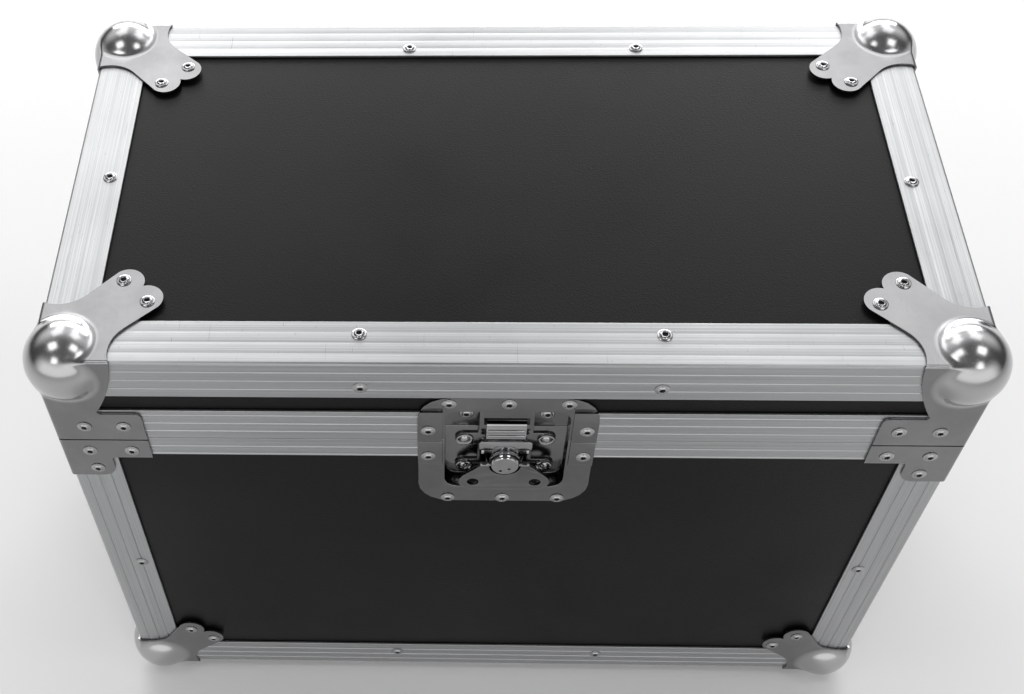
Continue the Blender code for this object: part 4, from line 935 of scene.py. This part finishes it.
# Ceiling panels in pairs: name, half spacing, place along Y, height, width, depth, power in watts
PANELS = (
    ("panel_back", 0.75, 1.2, 1.95, 0.80, 0.80, 2.6),
    ("panel_far", 0.75, 2.1, 1.95, 0.70, 0.70, 2.2),
    ("panel_middle", 0.80, -0.20, 1.9, 0.55, 0.60, 3.0),
    ("panel_front", 0.80, -1.60, 1.9, 0.55, 0.60, 3.0),
)
PANEL_TARGET = (0, 0, 0.3)

# Camera solved from the straight edges of the case in the photograph, lengths in pixels
IMAGE_WIDTH, IMAGE_HEIGHT = 1024, 694
FOCAL_LENGTH = 1333.30
PRINCIPAL_POINT = (394.79, 434.47)
CAMERA_PLACE = (-0.03839, -0.58528, 0.92559 + UNDERSIDE)
CAMERA_TURN = (0.61626, 0.02350, 0.02559)


def build_floor():
    work = bmesh.new()
    bmesh.ops.create_grid(work, x_segments=1, y_segments=1, size=30)
    floor = bpy.data.objects.new("floor", to_mesh(work, "floor"))
    bpy.context.scene.collection.objects.link(floor)
    floor.data.materials.append(studio_floor())


def build_world():
    """Studio shell: dim all round, with a broad bank of light behind and above the case and a low
    band in front that only edges and curves mirror."""
    world = bpy.data.worlds.new("studio")
    world.use_nodes = True
    tree = world.node_tree
    background = tree.nodes["Background"]
    coords = add_node(tree, "ShaderNodeTexCoord").outputs["Generated"]
    way = add_node(tree, "ShaderNodeSeparateXYZ", [coords]).outputs
    rise = add_node(tree, "ShaderNodeMapRange", [way["Z"], *BANK_RISE, 0.0, 1.0])
    fall = add_node(tree, "ShaderNodeMapRange", [way["Z"], *BANK_FALL, 1.0, 0.0])
    behind = add_node(tree, "ShaderNodeMapRange", [way["Y"], *BANK_BEHIND, 0.0, 1.0])
    height = add_node(tree, "ShaderNodeMath", [rise.outputs[0], fall.outputs[0]],
                      operation="MULTIPLY")
    bank = add_node(tree, "ShaderNodeMath", [height.outputs[0], behind.outputs[0]],
                    operation="MULTIPLY")
    low = add_node(tree, "ShaderNodeMapRange", [way["Z"], *FRONT_FALL, 1.0, 0.0])
    ahead = add_node(tree, "ShaderNodeMapRange", [way["Y"], *FRONT_AHEAD, FRONT, 0.0])
    band = add_node(tree, "ShaderNodeMath", [low.outputs[0], ahead.outputs[0]],
                    operation="MULTIPLY")
    shell = add_node(tree, "ShaderNodeMapRange", [way["Z"], 0.0, 1.0, DIM_LOW, DIM_HIGH])
    dim = add_node(tree, "ShaderNodeMath", [shell.outputs[0], band.outputs[0]], operation="ADD")
    total = add_node(tree, "ShaderNodeMath", [bank.outputs[0], BANK, dim.outputs[0]],
                     operation="MULTIPLY_ADD")
    set_sockets(tree, background, {"Color": linear("#ffffff"), "Strength": total.outputs[0]})
    bpy.context.scene.world = world


def add_softbox(name, place, target, width, depth, power):
    light = bpy.data.lights.new(name, "AREA")
    light.shape = "RECTANGLE"
    light.size = width
    light.size_y = depth
    light.energy = power
    lamp = bpy.data.objects.new(name, light)
    bpy.context.scene.collection.objects.link(lamp)
    lamp.location = place
    lamp.rotation_euler = (Vector(target) - Vector(place)).to_track_quat("-Z", "Y").to_euler()


def build_lights():
    """Four pairs of ceiling panels, and a wide strip low behind the case."""
    for side in (-1, 1):
        for name, spacing, along, height, width, depth, power in PANELS:
            add_softbox(name, (spacing * side, along, height), PANEL_TARGET, width, depth, power)
    add_softbox("strip_behind", (0, 2.4, 1.0), target=(0, 0, 0.1), width=3.2, depth=0.8, power=55)


def build_camera():
    camera = bpy.data.cameras.new("camera")
    camera.sensor_width = 36
    camera.lens = FOCAL_LENGTH / IMAGE_WIDTH * camera.sensor_width
    camera.shift_x = (IMAGE_WIDTH / 2 - PRINCIPAL_POINT[0]) / IMAGE_WIDTH
    camera.shift_y = (PRINCIPAL_POINT[1] - IMAGE_HEIGHT / 2) / IMAGE_WIDTH
    camera.clip_start = 0.05
    camera.clip_end = 100
    holder = bpy.data.objects.new("camera", camera)
    bpy.context.scene.collection.objects.link(holder)
    holder.location = CAMERA_PLACE
    holder.rotation_euler = CAMERA_TURN
    bpy.context.scene.camera = holder


def main():
    bpy.context.scene.view_settings.view_transform = "Standard"
    build_floor()
    build_world()
    build_lights()
    build_camera()
    dress_panels()
    build_extrusions()
    corner_rivets = build_corner_fittings()
    build_latch()
    build_hinges()
    build_handles()
    build_rivets(corner_rivets)


main()
